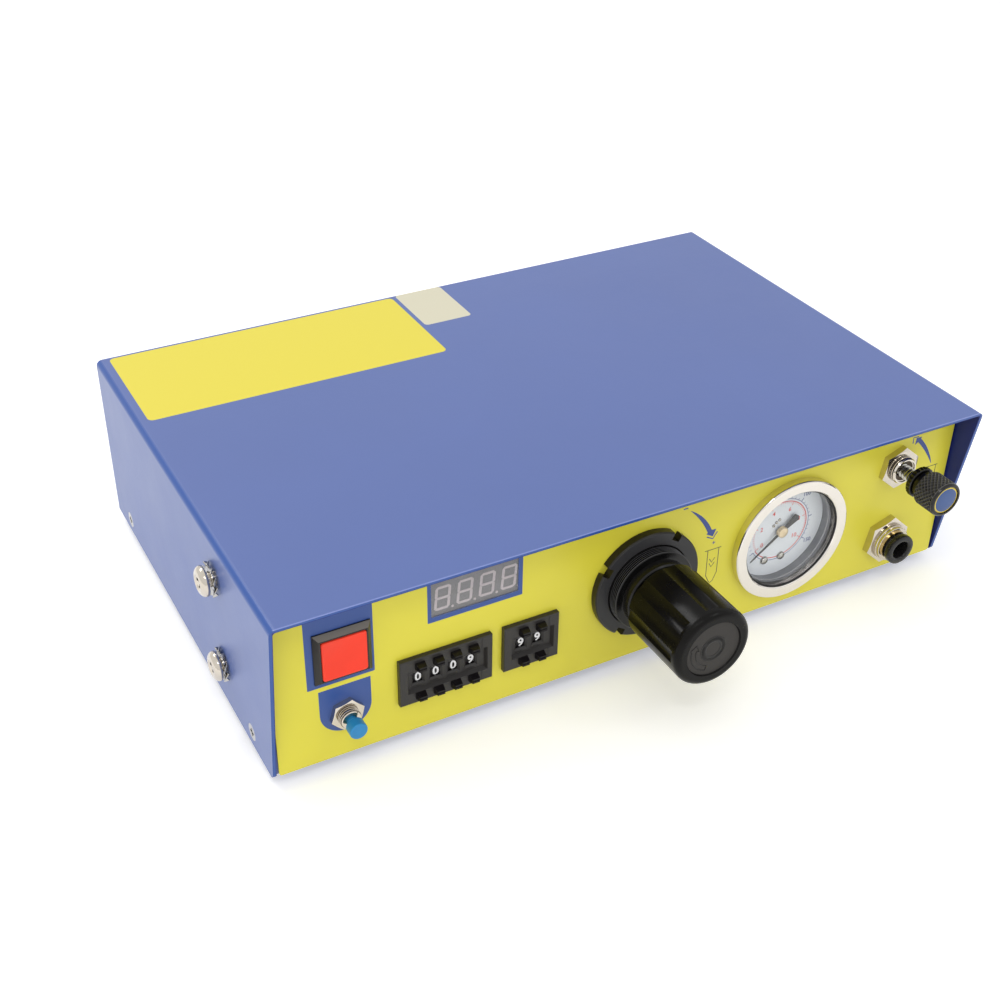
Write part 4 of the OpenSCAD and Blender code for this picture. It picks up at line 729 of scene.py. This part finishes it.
half_w, half_h = (digit_w - segment_w) / 2, (digit_h - segment_w) / 2
flat_l, upright_l = digit_w - 2 * segment_gap, half_h + segment_w - 2 * segment_gap
bars = [segment(digit_across, digit_up + row * half_h, flat_l, False) for row in (-1, 0, 1)]
bars += [segment(digit_across + side * half_w, digit_up + row * half_h / 2, upright_l, True)
         for side in (-1, 1) for row in (-1, 1)]
first_digit = join_pieces(bars)
low_z = on_panel(0, digit_up).z
for vert in first_digit.data.vertices:
    vert.co.x += (vert.co.z - low_z) * digit_slant / digit_h
start_fresh()
bpy.ops.mesh.primitive_cylinder_add(vertices=16, radius=point_r * mm, depth=segment_depth * mm,
                                    rotation=(math.radians(90), 0, 0),
                                    location=on_panel(point_across, point_up, -segment_middle))
first_point = bpy.context.object
rounding = first_point.modifiers.new("rounding", "BEVEL")
rounding.width, rounding.segments = 0.04 * mm, 2
finish_piece(first_digit, "display_digit_1", segment_white, "root", "dark_plastic")
finish_piece(first_point, "display_point_1", segment_white, "root", "dark_plastic")
for number in range(2, 5):
    for first, kind in ((first_digit, "digit"), (first_point, "point")):
        step = ((number - 1) * digit_pitch, 0, 0)
        copy_piece(first, f"display_{kind}_{number}", step, "root", "dark_plastic")

# Thumbwheel rows: black moulded housings for four and two digits, clipped into the panel side by side. Each
# digit has a wheel behind its window, and a push key above it and another below.
row_look = {"gloss_spread": 0.14, "grain": 2600.0}
black_moulding = moulding("black_moulding", colour(46, 44, 43), 0.36, **row_look, depth=0.014)
key_moulding = moulding("key_moulding", colour(20, 17, 19), 0.32, **row_look, depth=0.01,
                        Specular_IOR_Level=0.2)
rows = {"set_time": (57.4, "0009"), "interval": (87.1, "99")}
for row, (_, shown) in rows.items():
    dress(black_moulding, f"{row}_housing")
    for number in range(1, len(shown) + 1):
        dress(key_moulding, *(f"{row}_{part}_{number}" for part in ("wheel", "plus", "minus")))

# Digit wheels: each is a black moulded rim on the axle of its cell, and carries the numerals 0 to 9, pad
# printed in white round it.
white_ink = Finish("white_ink", colour(244, 244, 246), 0.4, unevenness=0.02, patches=300.0, grain=2000.0,
                   depth=0.004)
cell_pitch, wheel_r, wheel_axis_depth, wheel_row_z = 6.0, 6.0, 5.9, 21.5
numeral_h, numeral_weight, numeral_t, numeral_bands = 3.25, 0.12, 0.08, 9


def text_shape(words, height, weight, depth):
    """Flat lettering about its own middle, standing upright and facing forwards, as a mesh."""
    start_fresh()
    bpy.ops.object.text_add(location=(0, 0, 0))
    label = bpy.context.object.data
    label.body = words
    label.size = height / 0.72 * mm
    label.offset, label.extrude, label.resolution_u = weight * mm, depth / 2 * mm, 3
    bpy.ops.object.convert(target="MESH")
    shape = bpy.context.object
    xs = [vert.co.x for vert in shape.data.vertices]
    ys = [vert.co.y for vert in shape.data.vertices]
    middle = Vector(((min(xs) + max(xs)) / 2, (min(ys) + max(ys)) / 2, 0))
    stretch = height * mm / (max(ys) - min(ys))
    shape.data.transform(Matrix.Diagonal((stretch, stretch, 1, 1)) @ Matrix.Translation(-middle))
    return shape


def numeral_on_rim(character):
    """A numeral cut across in thin bands, so that it can be wrapped round the rim."""
    numeral = text_shape(character, numeral_h, numeral_weight, numeral_t)
    edit(numeral)
    for step in range(numeral_bands):
        cut_y = (step - numeral_bands // 2) * numeral_h / numeral_bands
        pick_all()
        bpy.ops.mesh.bisect(plane_co=(0, cut_y * mm, 0), plane_no=(0, 1, 0))
    bpy.ops.object.mode_set(mode="OBJECT")
    return numeral


numerals = [numeral_on_rim(str(value)) for value in range(10)]
for row, (row_across, shown) in rows.items():
    for number, digit in enumerate(shown, start=1):
        cell = row_across + (number - (len(shown) + 1) / 2) * cell_pitch
        axis = on_panel(cell, wheel_row_z, -wheel_axis_depth)
        band = []
        for value, numeral in enumerate(numerals):
            printed = copy_piece(numeral, "numeral", (0, 0, 0))
            turn_start = (value - int(digit)) * math.tau / len(numerals)
            for vert in printed.data.vertices:
                turn = turn_start + vert.co.y / (wheel_r * mm)
                reach = (wheel_r - 0.01) * mm + vert.co.z
                vert.co = axis + Vector((vert.co.x, -reach * math.cos(turn), reach * math.sin(turn)))
            band.append(printed)
        print_band = join_pieces(band)
        edit(print_band)
        tidy_mesh()
        finish_piece(print_band, f"{row}_numerals_{number}", white_ink, f"{row}_wheel_{number}",
                     "black_plastic", smooth=20)
for numeral in numerals:
    bpy.data.objects.remove(numeral)


# Shot switch: a nickel-plated threaded bushing, clamped by its nut, with the moulded switch body and its
# two tinned tags behind the panel. A blue moulded cap is pressed on the plunger.
def thread_turns(first, pitch, count, *turn):
    """The profile of a thread: the points of one turn, repeated from one pitch to the next."""
    return [(radius, first + step * pitch + rise) for step in range(count) for radius, rise in turn]


shot_middle, plunger_r = (24.5, 17.1), 1.55
bushing_r, bushing_root_r, bushing_h, bushing_pitch = 3.45, 3.1, 4.4, 0.75
bushing = turned([(plunger_r, -10.6), (bushing_root_r, -10.6), (bushing_root_r, -1.7), (bushing_r, -1.6)]
                 + thread_turns(0.4, bushing_pitch, 5, (bushing_r, 0), (bushing_r, 0.25),
                                (bushing_root_r, 0.42), (bushing_root_r, 0.55))
                 + [(bushing_r - 0.3, 4.15), (bushing_r - 0.55, bushing_h), (plunger_r + 0.3, bushing_h),
                    (plunger_r, bushing_h - 0.25), (plunger_r, -10.6)], place=on_panel(*shot_middle))
bushing_plate = Finish("bushing_plate", colour(214, 205, 192), 0.15, gloss_spread=0.14, **plated)
# Painted shade in the thread roots of the bushing.
bushing_plate.oiled_roots(shot_middle, bushing_r - 0.12, 0.3, 4.1, colour(112, 103, 92))
finish_piece(bushing, "shot_switch_bushing", bushing_plate, "root", "nickel", "shot_switch_body")
shot_w, shot_d, shot_middle_back = 11, 15, 9.2
tag_t, tag_l, tag_w, tag_back, tag_gap = 0.8, 5, 2.2, 19.2, 5
dark_moulding = moulding("dark_moulding", colour(50, 48, 47), 0.36, patches=120.0, depth=0.02)
shot_body = bevelled_block(on_panel(*shot_middle, -shot_middle_back), (shot_w, shot_d, shot_w), 0.6)
edit(shot_body)
pick(shot_body, "faces", lambda middle, face: face.normal.y > 0.9)
bpy.ops.mesh.inset(thickness=0.8 * mm)
bpy.ops.transform.translate(value=(0, 0.6 * mm, 0))
finish_piece(shot_body, "shot_switch_case", dark_moulding, "root", "dark_plastic", "shot_switch_body")
tag = start_block(on_panel(shot_middle[0] - tag_gap / 2, shot_middle[1], -tag_back), (tag_t, tag_l, tag_w))
edit(tag)
pick(tag, "faces", lambda middle, face: face.normal.y > 0.9)
bpy.ops.transform.resize(value=(0.7, 1, 0.6))
finish_piece(tag, "shot_switch_tag_left", zinc, "root", "steel", "shot_switch_body")
copy_piece(tag, "shot_switch_tag_right", (tag_gap, 0, 0), "root", "steel", "shot_switch_body")
dress(Finish("blue_cap", colour(28, 132, 192), 0.36, patches=200.0, grain=1600.0), "shot_button")

# Panel nuts: chamfered hexagon nuts, turned from brass bar and nickel plated. They clamp the round fittings
# to the front and the rear wall.
dress(nickel, "panel_nuts")

# Regulator: a black moulded bonnet through the panel with its slotted ring nut, the zinc body behind it
# and the steel spindle that the knob turns.
gloss_moulding = moulding("gloss_moulding", colour(18, 17, 16), 0.25, patches=110.0, grain=1500.0, depth=0.01,
                          Specular_IOR_Level=0.3)
bonnet_r, bonnet_root_r, bonnet_pitch, ring_nut_t = 14.7, 14.15, 0.72, 3.0
bonnet = turned([(0, -6.7), (16.4, -6.7), (16.7, -6.4), (16.7, -1.7), (bonnet_r, -1.7),
                 (bonnet_r, ring_nut_t)]
                + thread_turns(ring_nut_t, bonnet_pitch, 5, (bonnet_root_r, 0.1), (bonnet_root_r, 0.26),
                               (bonnet_r, 0.46), (bonnet_r, 0.62))
                + [(14.3, 6.75), (12.7, 6.75), (12.2, 6.95), (12.1, 7.4), (12.1, 9.6), (11.6, 10.1),
                   (3.05, 10.1), (3.05, -5.7), (0, -5.7)], steps=96, place=on_panel(*regulator_middle))
# Painted highlight on the bonnet's thread crests, and painted shade in its thread roots.
crest_highlight = gloss_moulding.patch(on_panel(*regulator_middle, 4.9), (20, 1.85, 20))
gloss_moulding.blend(crest_highlight, Base_Color=colour(66, 66, 68))
gloss_moulding.oiled_roots(regulator_middle, bonnet_r - 0.16, 2.9, 6.9, colour(8, 8, 8))
finish_piece(bonnet, "regulator_bonnet_turned", gloss_moulding, "root", "black_plastic", "regulator_bonnet",
             smooth=25)
nut_moulding = moulding("nut_moulding", colour(30, 27, 24), 0.32, gloss_spread=0.14, grain=2200.0,
                        Specular_IOR_Level=0.3)
nut_face = nut_moulding.patch(on_panel(*regulator_middle, ring_nut_t), (25, 0.08, 25), softness=0.05)
nut_moulding.blend(nut_face, Base_Color=colour(52, 52, 54), Roughness=0.45)
dress(nut_moulding, "regulator_ring_nut")
cast_zinc = Finish("cast_zinc", colour(168, 168, 172), 0.5, metallic=0.9, unevenness=0.07, patches=90.0,
                   gloss_spread=0.18, grain=1400.0, depth=0.05)
dress(cast_zinc, "regulator_body")
dress(zinc, "regulator_spindle")

# Regulator knob: a fluted moulding, glossy round its grip, with a matte sunk end. A raised ring, a boss
# and an outlined arrow are moulded on the end.
knob_moulding = moulding("knob_moulding", colour(14, 13, 12), 0.26, patches=90.0, grain=1400.0, depth=0.008,
                         Specular_IOR_Level=0.12)
knob_floor = 38.9
end_floor = knob_moulding.patch(on_panel(*regulator_middle, knob_floor), (9.6, 12, 9.6), 9.6, softness=0.05)
knob_moulding.blend(end_floor, Base_Color=colour(62, 60, 58), Roughness=0.5)
dress(knob_moulding, "regulator_knob")
end_moulding = moulding("knob_end_moulding", colour(30, 29, 28), 0.4, patches=200.0, gloss_spread=0.1,
                        grain=2200.0, depth=0.01, Specular_IOR_Level=0.3)
end_ring = turned([(2.5, 0), (2.8, 0.12), (3.05, 0.14), (3.3, 0), (4.15, 0), (4.3, 0.16), (4.5, 0.16),
                   (4.65, 0), (4.65, -0.1), (2.5, -0.1), (2.5, 0)],
                  place=on_panel(*regulator_middle, knob_floor))
finish_piece(end_ring, "regulator_knob_end_rings", end_moulding, "regulator_knob", "black_plastic")
raised_line_w, raised_line_t = 0.34, 0.36
arrow_tail, arrow_sweep, arrow_steps = -107, -83, 13
arrow_turns = [arrow_tail + arrow_sweep * step / arrow_steps for step in range(arrow_steps + 1)]
band_outline = ([point_round(regulator_middle, 6.35, turn) for turn in arrow_turns]
                + [point_round(regulator_middle, *barb) for barb in ((5.35, 170), (7.0, 152), (8.6, 167))]
                + [point_round(regulator_middle, 8.05, turn) for turn in arrow_turns[::-1]])
end_arrow = draw_line(band_outline, knob_floor, raised_line_w, raised_line_t, closed=True)
finish_piece(end_arrow, "regulator_knob_end_arrow", end_moulding, "regulator_knob", "black_plastic")

# Gauge: a pressed steel case with a polished ring and a flat glass over a white dial. A satin steel
# lining stands between the glass and the dial, and a black gasket shows inside the ring.
polished = Finish("polished_steel", colour(226, 221, 214), 0.16, metallic=1.0, unevenness=0.02, patches=60.0,
                  grain=1200.0, depth=0.002)
case_steel = Finish("gauge_case_steel", colour(150, 150, 152), 0.38, metallic=1.0, patches=80.0, grain=1500.0)
dial_paint = Finish("dial_paint", colour(238, 243, 248), 0.5, unevenness=0.015, patches=40.0, grain=1800.0,
                    depth=0.004)
clear_glass = Finish("gauge_glass", colour(190, 194, 198), 0.03, unevenness=0.0, patches=20.0,
                     gloss_spread=0.02, grain=300.0, depth=0.001)
clear_glass.clear(0.01, 0.6)
dress(polished, "gauge_ring")
dress(case_steel, "gauge_case")
dress(dial_paint, "gauge_dial")
dress(clear_glass, "gauge_glass")
gauge_middle, dial_front = (187.8, 28.7), -4.4
lining = turned([(18.4, dial_front), (18.4, -1.9), (18.15, -1.7), (18.15, -1.3), (18.4, -1.1), (18.4, -0.1),
                 (18.75, -0.1), (18.75, dial_front), (18.4, dial_front)], steps=96,
                place=on_panel(*gauge_middle))
finish_piece(lining, "gauge_lining", case_steel, "root", "bright_steel")
gasket = turned([(18.5, 1.9), (18.5, 2.25), (18.65, 2.4), (18.9, 2.4), (18.9, 1.9), (18.5, 1.9)], steps=96,
                place=on_panel(*gauge_middle))
finish_piece(gasket, "gauge_gasket", rubber, "root", "rubber_black")

# Dial print: a red scale inside a blue one, screen printed on the dial. Each is an arc with long and short
# marks and its numbers.
dial_ink = {"patches": 300.0, "grain": 2500.0, "depth": 0.003}
ink_red = Finish("red_ink", colour(226, 92, 88), 0.5, **dial_ink)
ink_violet = Finish("scale_blue_ink", colour(92, 104, 158), 0.5, **dial_ink)
scale_start, scale_end = 212, -32
print_t, long_mark, short_mark, long_mark_w, short_mark_w = 0.03, 1.5, 0.8, 0.24, 0.14


def scale_arc(inner, outer, first, last):
    """A thin printed arc on the dial, spun from its radial edge and given the ink's thickness."""
    arc = draw_chain([on_panel(*point_round(gauge_middle, radius, first), dial_front)
                      for radius in (inner, outer)])
    pick_all()
    bpy.ops.mesh.spin(steps=72, angle=math.radians(first - last), center=on_panel(*gauge_middle, dial_front),
                      axis=(0, 1, 0))
    pick_all()
    bpy.ops.mesh.extrude_region_move(TRANSFORM_OT_translate={"value": (0, -print_t * mm, 0)})
    tidy_mesh()
    return arc


def scale_mark(inner, outer, width, turn):
    lean = math.degrees(width / 2 / inner)
    outer_lean = lean * inner / outer
    corners = ((inner, turn - lean), (outer, turn - outer_lean),
               (outer, turn + outer_lean), (inner, turn + lean))
    return cut_shape([point_round(gauge_middle, *corner) for corner in corners], dial_front, print_t)


def scale_number(words, radius, turn, height):
    number = text_shape(words, height, 0.02, print_t)
    place = on_panel(*point_round(gauge_middle, radius, turn), dial_front + print_t / 2)
    number.data.transform(Matrix.Translation(place) @ Matrix.Rotation(math.radians(90), 4, "X"))
    return number


def scale_print(way, line_r, line_w, major, divisions, numbers, number_r, number_h):
    """A whole scale, whose marks run outwards from its arc with way 1 and inwards with way -1."""
    parts = [scale_arc(line_r - line_w / 2, line_r + line_w / 2, scale_start, scale_end)]
    for step in range(divisions + 1):
        turn = scale_start + (scale_end - scale_start) * step / divisions
        length, width = (long_mark, long_mark_w) if step % major == 0 else (short_mark, short_mark_w)
        parts.append(scale_mark(*sorted((line_r, line_r + way * length)), width, turn))
    for index, words in enumerate(numbers):
        turn = scale_start + (scale_end - scale_start) * index / (len(numbers) - 1)
        parts.append(scale_number(words, number_r, turn, number_h))
    return join_pieces(parts)


red_scale = scale_print(-1, 11.3, 0.3, 10, 50, ("0", "2", "4", "6", "8", "10"), 8.2, 1.7)
finish_piece(red_scale, "gauge_red_scale", ink_red, "root", "dial_white")
blue_scale = scale_print(1, 12.2, 0.2, 5, 30, ("0", "50", "100", "150"), 15.6, 1.6)
finish_piece(blue_scale, "gauge_blue_scale", ink_violet, "root", "dial_white")

# Dial screws: two pan-head screws and three small rivets, all of zinc-plated steel, that hold the dial to
# the gauge's movement.
for name, across, up, radius, height in (
        ("gauge_dial_screw_right", 1.9, -11.3, 1.55, 0.9), ("gauge_dial_screw_left", -5.2, -11.1, 1.55, 0.9),
        ("gauge_dial_rivet_left", -2.9, 2.5, 0.6, 0.4), ("gauge_dial_rivet_middle", -1.9, 3.6, 0.6, 0.4),
        ("gauge_dial_rivet_right", -0.6, 4.3, 0.6, 0.4)):
    head = turned([(0, height), (radius * 0.5, height), (radius * 0.85, height * 0.8), (radius, height * 0.4),
                   (radius, 0), (0, 0)], steps=32,
                  place=on_panel(gauge_middle[0] + across, gauge_middle[1] + up, dial_front))
    finish_piece(head, name, zinc, "root", "steel")

# Gauge pointer: thin painted sheet with a grey spade tail. It is pressed on a pale brass hub, which is
# turned and has a small dimple in its end.
pointer_paint = Finish("pointer_paint", colour(84, 84, 84), 0.45, patches=200.0, grain=2000.0, depth=0.006)
dress(pointer_paint, "gauge_pointer")
pale_brass = Finish("pale_brass", colour(226, 208, 176), 0.32, metallic=0.7, patches=300.0, grain=2500.0,
                    depth=0.004)
hub_cap = turned([(0, -2.05), (0.25, -2.05), (0.35, -1.93), (1.6, -1.93), (2.0, -2.2), (2.0, -3.45),
                  (1.9, -3.5), (0, -3.5)], steps=48, place=on_panel(*gauge_middle))
finish_piece(hub_cap, "gauge_pointer_hub", pale_brass, "gauge_pointer", "brass")

# Vacuum valve: a brass body turned with a fine thread and nickel plated, clamped by its nut. The steel
# needle screws in it, and a black anodised ring locks the needle.
vacuum_middle = (232.6, 44.3)
stub_r, stub_root_r, stub_h, stub_pitch = 5.0, 4.6, 4.5, 0.8
valve_r, valve_d, flange_r, flange_back, wall_back, bore_d = 7.0, 26.0, 8.0, 4.7, 1.7, 19.0
valve_body = turned([(0, -valve_d), (valve_r - 0.5, -valve_d), (valve_r, -valve_d + 0.5),
                     (valve_r, -flange_back), (flange_r - 0.3, -flange_back),
                     (flange_r, -flange_back + 0.3), (flange_r, -wall_back), (stub_r, -wall_back)]
                    + thread_turns(0.6, stub_pitch, 4, (stub_r, 0), (stub_r, 0.3), (stub_root_r, 0.5),
                                   (stub_root_r, 0.6))
                    + [(stub_r, 3.9), (stub_r - 0.35, stub_h), (stub_r - 0.8, stub_h), (stub_r - 0.9, 3.9),
                       (3.5, 3.7), (2.6, 3.55), (2.6, -bore_d), (0, -bore_d)], place=on_panel(*vacuum_middle))
valve_plate = Finish("valve_plate", colour(216, 209, 198), 0.15, gloss_spread=0.14, **plated)
# Painted shade in the thread roots of the stub.
valve_plate.oiled_roots(vacuum_middle, stub_r - 0.13, 0.3, 3.8, colour(66, 58, 48))
finish_piece(valve_body, "vacuum_valve_turned", valve_plate, "root", "nickel", "vacuum_valve_body")


def anodised(name, roughness):
    return Finish(name, colour(12, 11, 10), roughness, unevenness=0.08, patches=160.0, grain=2200.0,
                  depth=0.006, Specular_IOR_Level=0.4)


dress(anodised("black_anodised", 0.18), "vacuum_lock_ring")
needle_steel = Finish("needle_steel", colour(186, 184, 178), 0.2, metallic=1.0, unevenness=0.06,
                      patches=260.0, grain=2500.0, depth=0.004)
needle_back, needle_top = sorted((on_panel(0, 0).y - corner.y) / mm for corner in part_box("vacuum_needle"))
needle_core = turned([(0, needle_back), (0.9, needle_back), (1.8, needle_back + 3.2), (1.8, needle_top - 0.1),
                      (1.6, needle_top), (0, needle_top)])
thread_low, thread_high, needle_pitch, needle_root_r, needle_crest_r = 0.4, 12.9, 1.25, 1.75, 2.48
ridge_profile = [(needle_root_r, 0), (needle_crest_r, 0.5), (needle_crest_r, 0.7), (needle_root_r, 1.18),
                 (needle_root_r, 0)]
ridge = draw_chain([(radius * mm, -(thread_low + rise) * mm, 0) for radius, rise in ridge_profile])
tidy_mesh()
bpy.ops.object.mode_set(mode="OBJECT")
helix = ridge.modifiers.new("helix", "SCREW")
helix.axis, helix.angle, helix.screw_offset = "Y", math.tau, -needle_pitch * mm
helix.iterations = int((thread_high - thread_low) / needle_pitch)
helix.steps = helix.render_steps = 32
bpy.ops.object.modifier_apply(modifier="helix")
edit(ridge)
tidy_mesh()
pick(ridge, "edges", lambda spot, edge: edge.is_boundary)
bpy.ops.mesh.fill()
tidy_mesh()
needle = join_pieces([needle_core, ridge])
needle.location = on_panel(*vacuum_middle)
finish_piece(needle, "vacuum_needle_threaded", needle_steel, "vacuum_needle", "steel", "vacuum_needle")

# Vacuum knob: turned from black anodised bar with a diamond knurl round its grip, and bored for the needle.
# A plain blue badge, ringed in yellow, is stuck in its end.
knob_r, knob_low, knob_top, knob_bore_r, knob_bore_top = 6.3, 15.4, 24.8, 2.55, 21.8
neck_r, neck_low = 4.6, 13.1
badge_seat_r, badge_seat_d = 5.1, 0.4
knurl_low, knurl_pitch, knurl_rings, knurl_steps, knurl_depth = 16.2, 0.78, 10, 48, 0.36
knob_profile = [(0, knob_bore_top), (knob_bore_r, knob_bore_top), (knob_bore_r, neck_low),
                (neck_r - 0.2, neck_low), (neck_r, neck_low + 0.2), (neck_r, knob_low),
                (knob_r - 0.7, knob_low), (knob_r - 0.2, knob_low + 0.4)]
knob_profile += thread_turns(knurl_low, knurl_pitch, knurl_rings, (knob_r, 0))
knob_profile += [(knob_r, knob_top - 0.95), (knob_r - 0.06, knob_top - 0.6), (knob_r - 0.35, knob_top - 0.15),
                 (knob_r - 0.7, knob_top), (badge_seat_r, knob_top), (badge_seat_r, knob_top - badge_seat_d),
                 (0, knob_top - badge_seat_d)]
vacuum_grip = turned(knob_profile, steps=knurl_steps)


def in_knurl_pit(spot, vert):
    """Every other point of the grip, ring by ring and step by step."""
    ring = (-spot.y / mm - knurl_low) / knurl_pitch
    step = math.atan2(spot.z, spot.x) / math.tau * knurl_steps
    on_grip = math.hypot(spot.x, spot.z) > (knob_r - 0.01) * mm and -0.1 < ring < knurl_rings - 0.9
    return on_grip and (round(ring) + round(step)) % 2 == 1


pick(vacuum_grip, "verts", in_knurl_pit)
grip_share = (knob_r - knurl_depth) / knob_r
bpy.ops.transform.resize(value=(grip_share, 1, grip_share), center_override=(0, 0, 0))
pick(vacuum_grip, "faces", lambda spot, face: math.hypot(spot.x, spot.z) > 5.7 * mm
     and knurl_low - 0.4 < -spot.y / mm < knob_top - 0.9)
bpy.ops.mesh.quads_convert_to_tris(quad_method="LONGEST_DIAGONAL")
vacuum_grip.location = on_panel(*vacuum_middle)
# Painted glints: the crests of the knurl are painted a lighter grey.
crest_glints = anodised("anodised_crest_glints", 0.2)
core_r = knob_r - 0.09
knob_core = crest_glints.patch(on_panel(*vacuum_middle, 20), (core_r, 12, core_r), core_r, softness=0.1)
crest_glints.blend(crest_glints.outside(knob_core), Base_Color=colour(96, 94, 90))
finish_piece(vacuum_grip, "vacuum_knob_knurled", crest_glints, "vacuum_knob", "black_plastic", "vacuum_knob",
             smooth=22)
badge_enamel = Finish("badge_enamel", colour(22, 70, 134), 0.16, patches=180.0, gloss_spread=0.04,
                      depth=0.003, Coat_Weight=0.2)
badge_front, badge_field_r = 24.7, 4.35
badge_face = badge_enamel.patch(on_panel(*vacuum_middle, 24.5), (badge_field_r, 6, badge_field_r),
                                badge_field_r, softness=0.1)
badge_enamel.blend(badge_enamel.outside(badge_face), Base_Color=colour(232, 206, 74))
badge = turned([(0, badge_front), (2.5, badge_front - 0.04), (4.2, badge_front - 0.12),
                (4.85, badge_front - 0.24), (4.95, badge_front - 0.32), (0, badge_front - 0.32)],
               place=on_panel(*vacuum_middle))
finish_piece(badge, "vacuum_knob_badge", badge_enamel, "vacuum_knob", "cap_blue")

# Feed fitting: a nickel-plated push-in fitting with a thin brass collar, screwed through the panel, and the
# black moulded ring that releases the tube.
feed_middle = (232.6, 14.2)
fitting_plate = Finish("fitting_plate", colour(198, 189, 175), 0.18, gloss_spread=0.18, **plated)
collar = fitting_plate.patch(on_panel(*feed_middle, 5.95), (5.8, 0.22, 5.8), softness=0.02)
fitting_plate.blend(collar, Base_Color=colour(214, 188, 116))
dress(fitting_plate, "feed_fitting_body")
release_moulding = moulding("release_moulding", colour(26, 25, 25), 0.27)
release_ring = turned([(3.25, 2.6), (4.25, 2.6), (4.25, 7.35), (5.2, 7.35), (5.55, 7.5), (5.7, 7.85),
                       (5.7, 9.2), (5.55, 9.6), (5.15, 9.82), (4.0, 9.88), (3.65, 9.75), (3.35, 9.4),
                       (3.25, 9.0), (3.25, 2.6)], place=on_panel(*feed_middle))
finish_piece(release_ring, "feed_release_ring_turned", release_moulding, "feed_release_ring", "black_plastic",
             "feed_release_ring")

# Rear wall: an appliance inlet with flat pins, the foot-switch jack, the push-in air inlet with its blue
# release ring, and a sintered bronze silencer on the exhaust.
rear_wall, rear_plain = 172, {"gloss_spread": 0.1, "grain": 2200.0, "depth": 0.02, "Specular_IOR_Level": 0.5}
inlet_moulding = moulding("inlet_moulding", colour(34, 34, 35), 0.45, **rear_plain, patches=120.0)
for across, up in ((38, 30), (45, 34), (52, 30)):
    inlet_pin = inlet_moulding.patch(in_case(across, rear_wall - 6.8, up), (1.1, 5.7, 2.1), softness=0.02)
    inlet_moulding.blend(inlet_pin, Base_Color=colour(206, 200, 186), Metallic=1.0, Roughness=0.25)
dress(inlet_moulding, "mains_inlet")
jack_moulding = moulding("jack_moulding", colour(36, 36, 37), 0.4, **rear_plain, patches=160.0)
jack_bushing = jack_moulding.patch(in_case(96, rear_wall + 2, 30), (6, 2.2, 6))
jack_moulding.blend(jack_bushing, Base_Color=colour(206, 200, 190), Metallic=1.0, Roughness=0.24)
dress(jack_moulding, "foot_switch_jack")
dress(nickel, "air_inlet_body")
blue_plastic = Finish("blue_plastic", colour(52, 108, 196), 0.35, patches=180.0, grain=1800.0)
dress(blue_plastic, "air_inlet_release_ring")
sintered = Finish("sintered_bronze", colour(176, 138, 74), 0.62, metallic=0.85, unevenness=0.22,
                  patches=1600.0, gloss_spread=0.3, grain=2600.0, depth=0.22)
dress(sintered, "exhaust_silencer")

# Inside: the laminated steel transformer, the printed board with its black parts, the alloy valve block with
# two moulded coils, and the plastic air tubes pushed into their fittings.
dress(Finish("transformer_steel", colour(120, 118, 116), 0.5, metallic=0.6, unevenness=0.12, patches=260.0,
             grain=1600.0, depth=0.04), "transformer")
board = laminate("board_laminate")
board.blend(board.patch(in_case(0, 85, 30), (400, 200, 20.9)), Base_Color=colour(38, 38, 40))
dress(board, "control_board")
block_alloy = Finish("block_alloy", colour(172, 172, 176), 0.42, metallic=0.9, unevenness=0.06, patches=90.0,
                     grain=1500.0, depth=0.03)
coil_shell = block_alloy.patch(in_case(209, 84, 48), (34, 14, 12.6))
block_alloy.blend(coil_shell, Base_Color=colour(36, 36, 38), Metallic=0.0)
dress(block_alloy, "solenoid_valve")
dress(Finish("air_tube", colour(70, 116, 200), 0.28, unevenness=0.04, patches=60.0), "air_tubes")
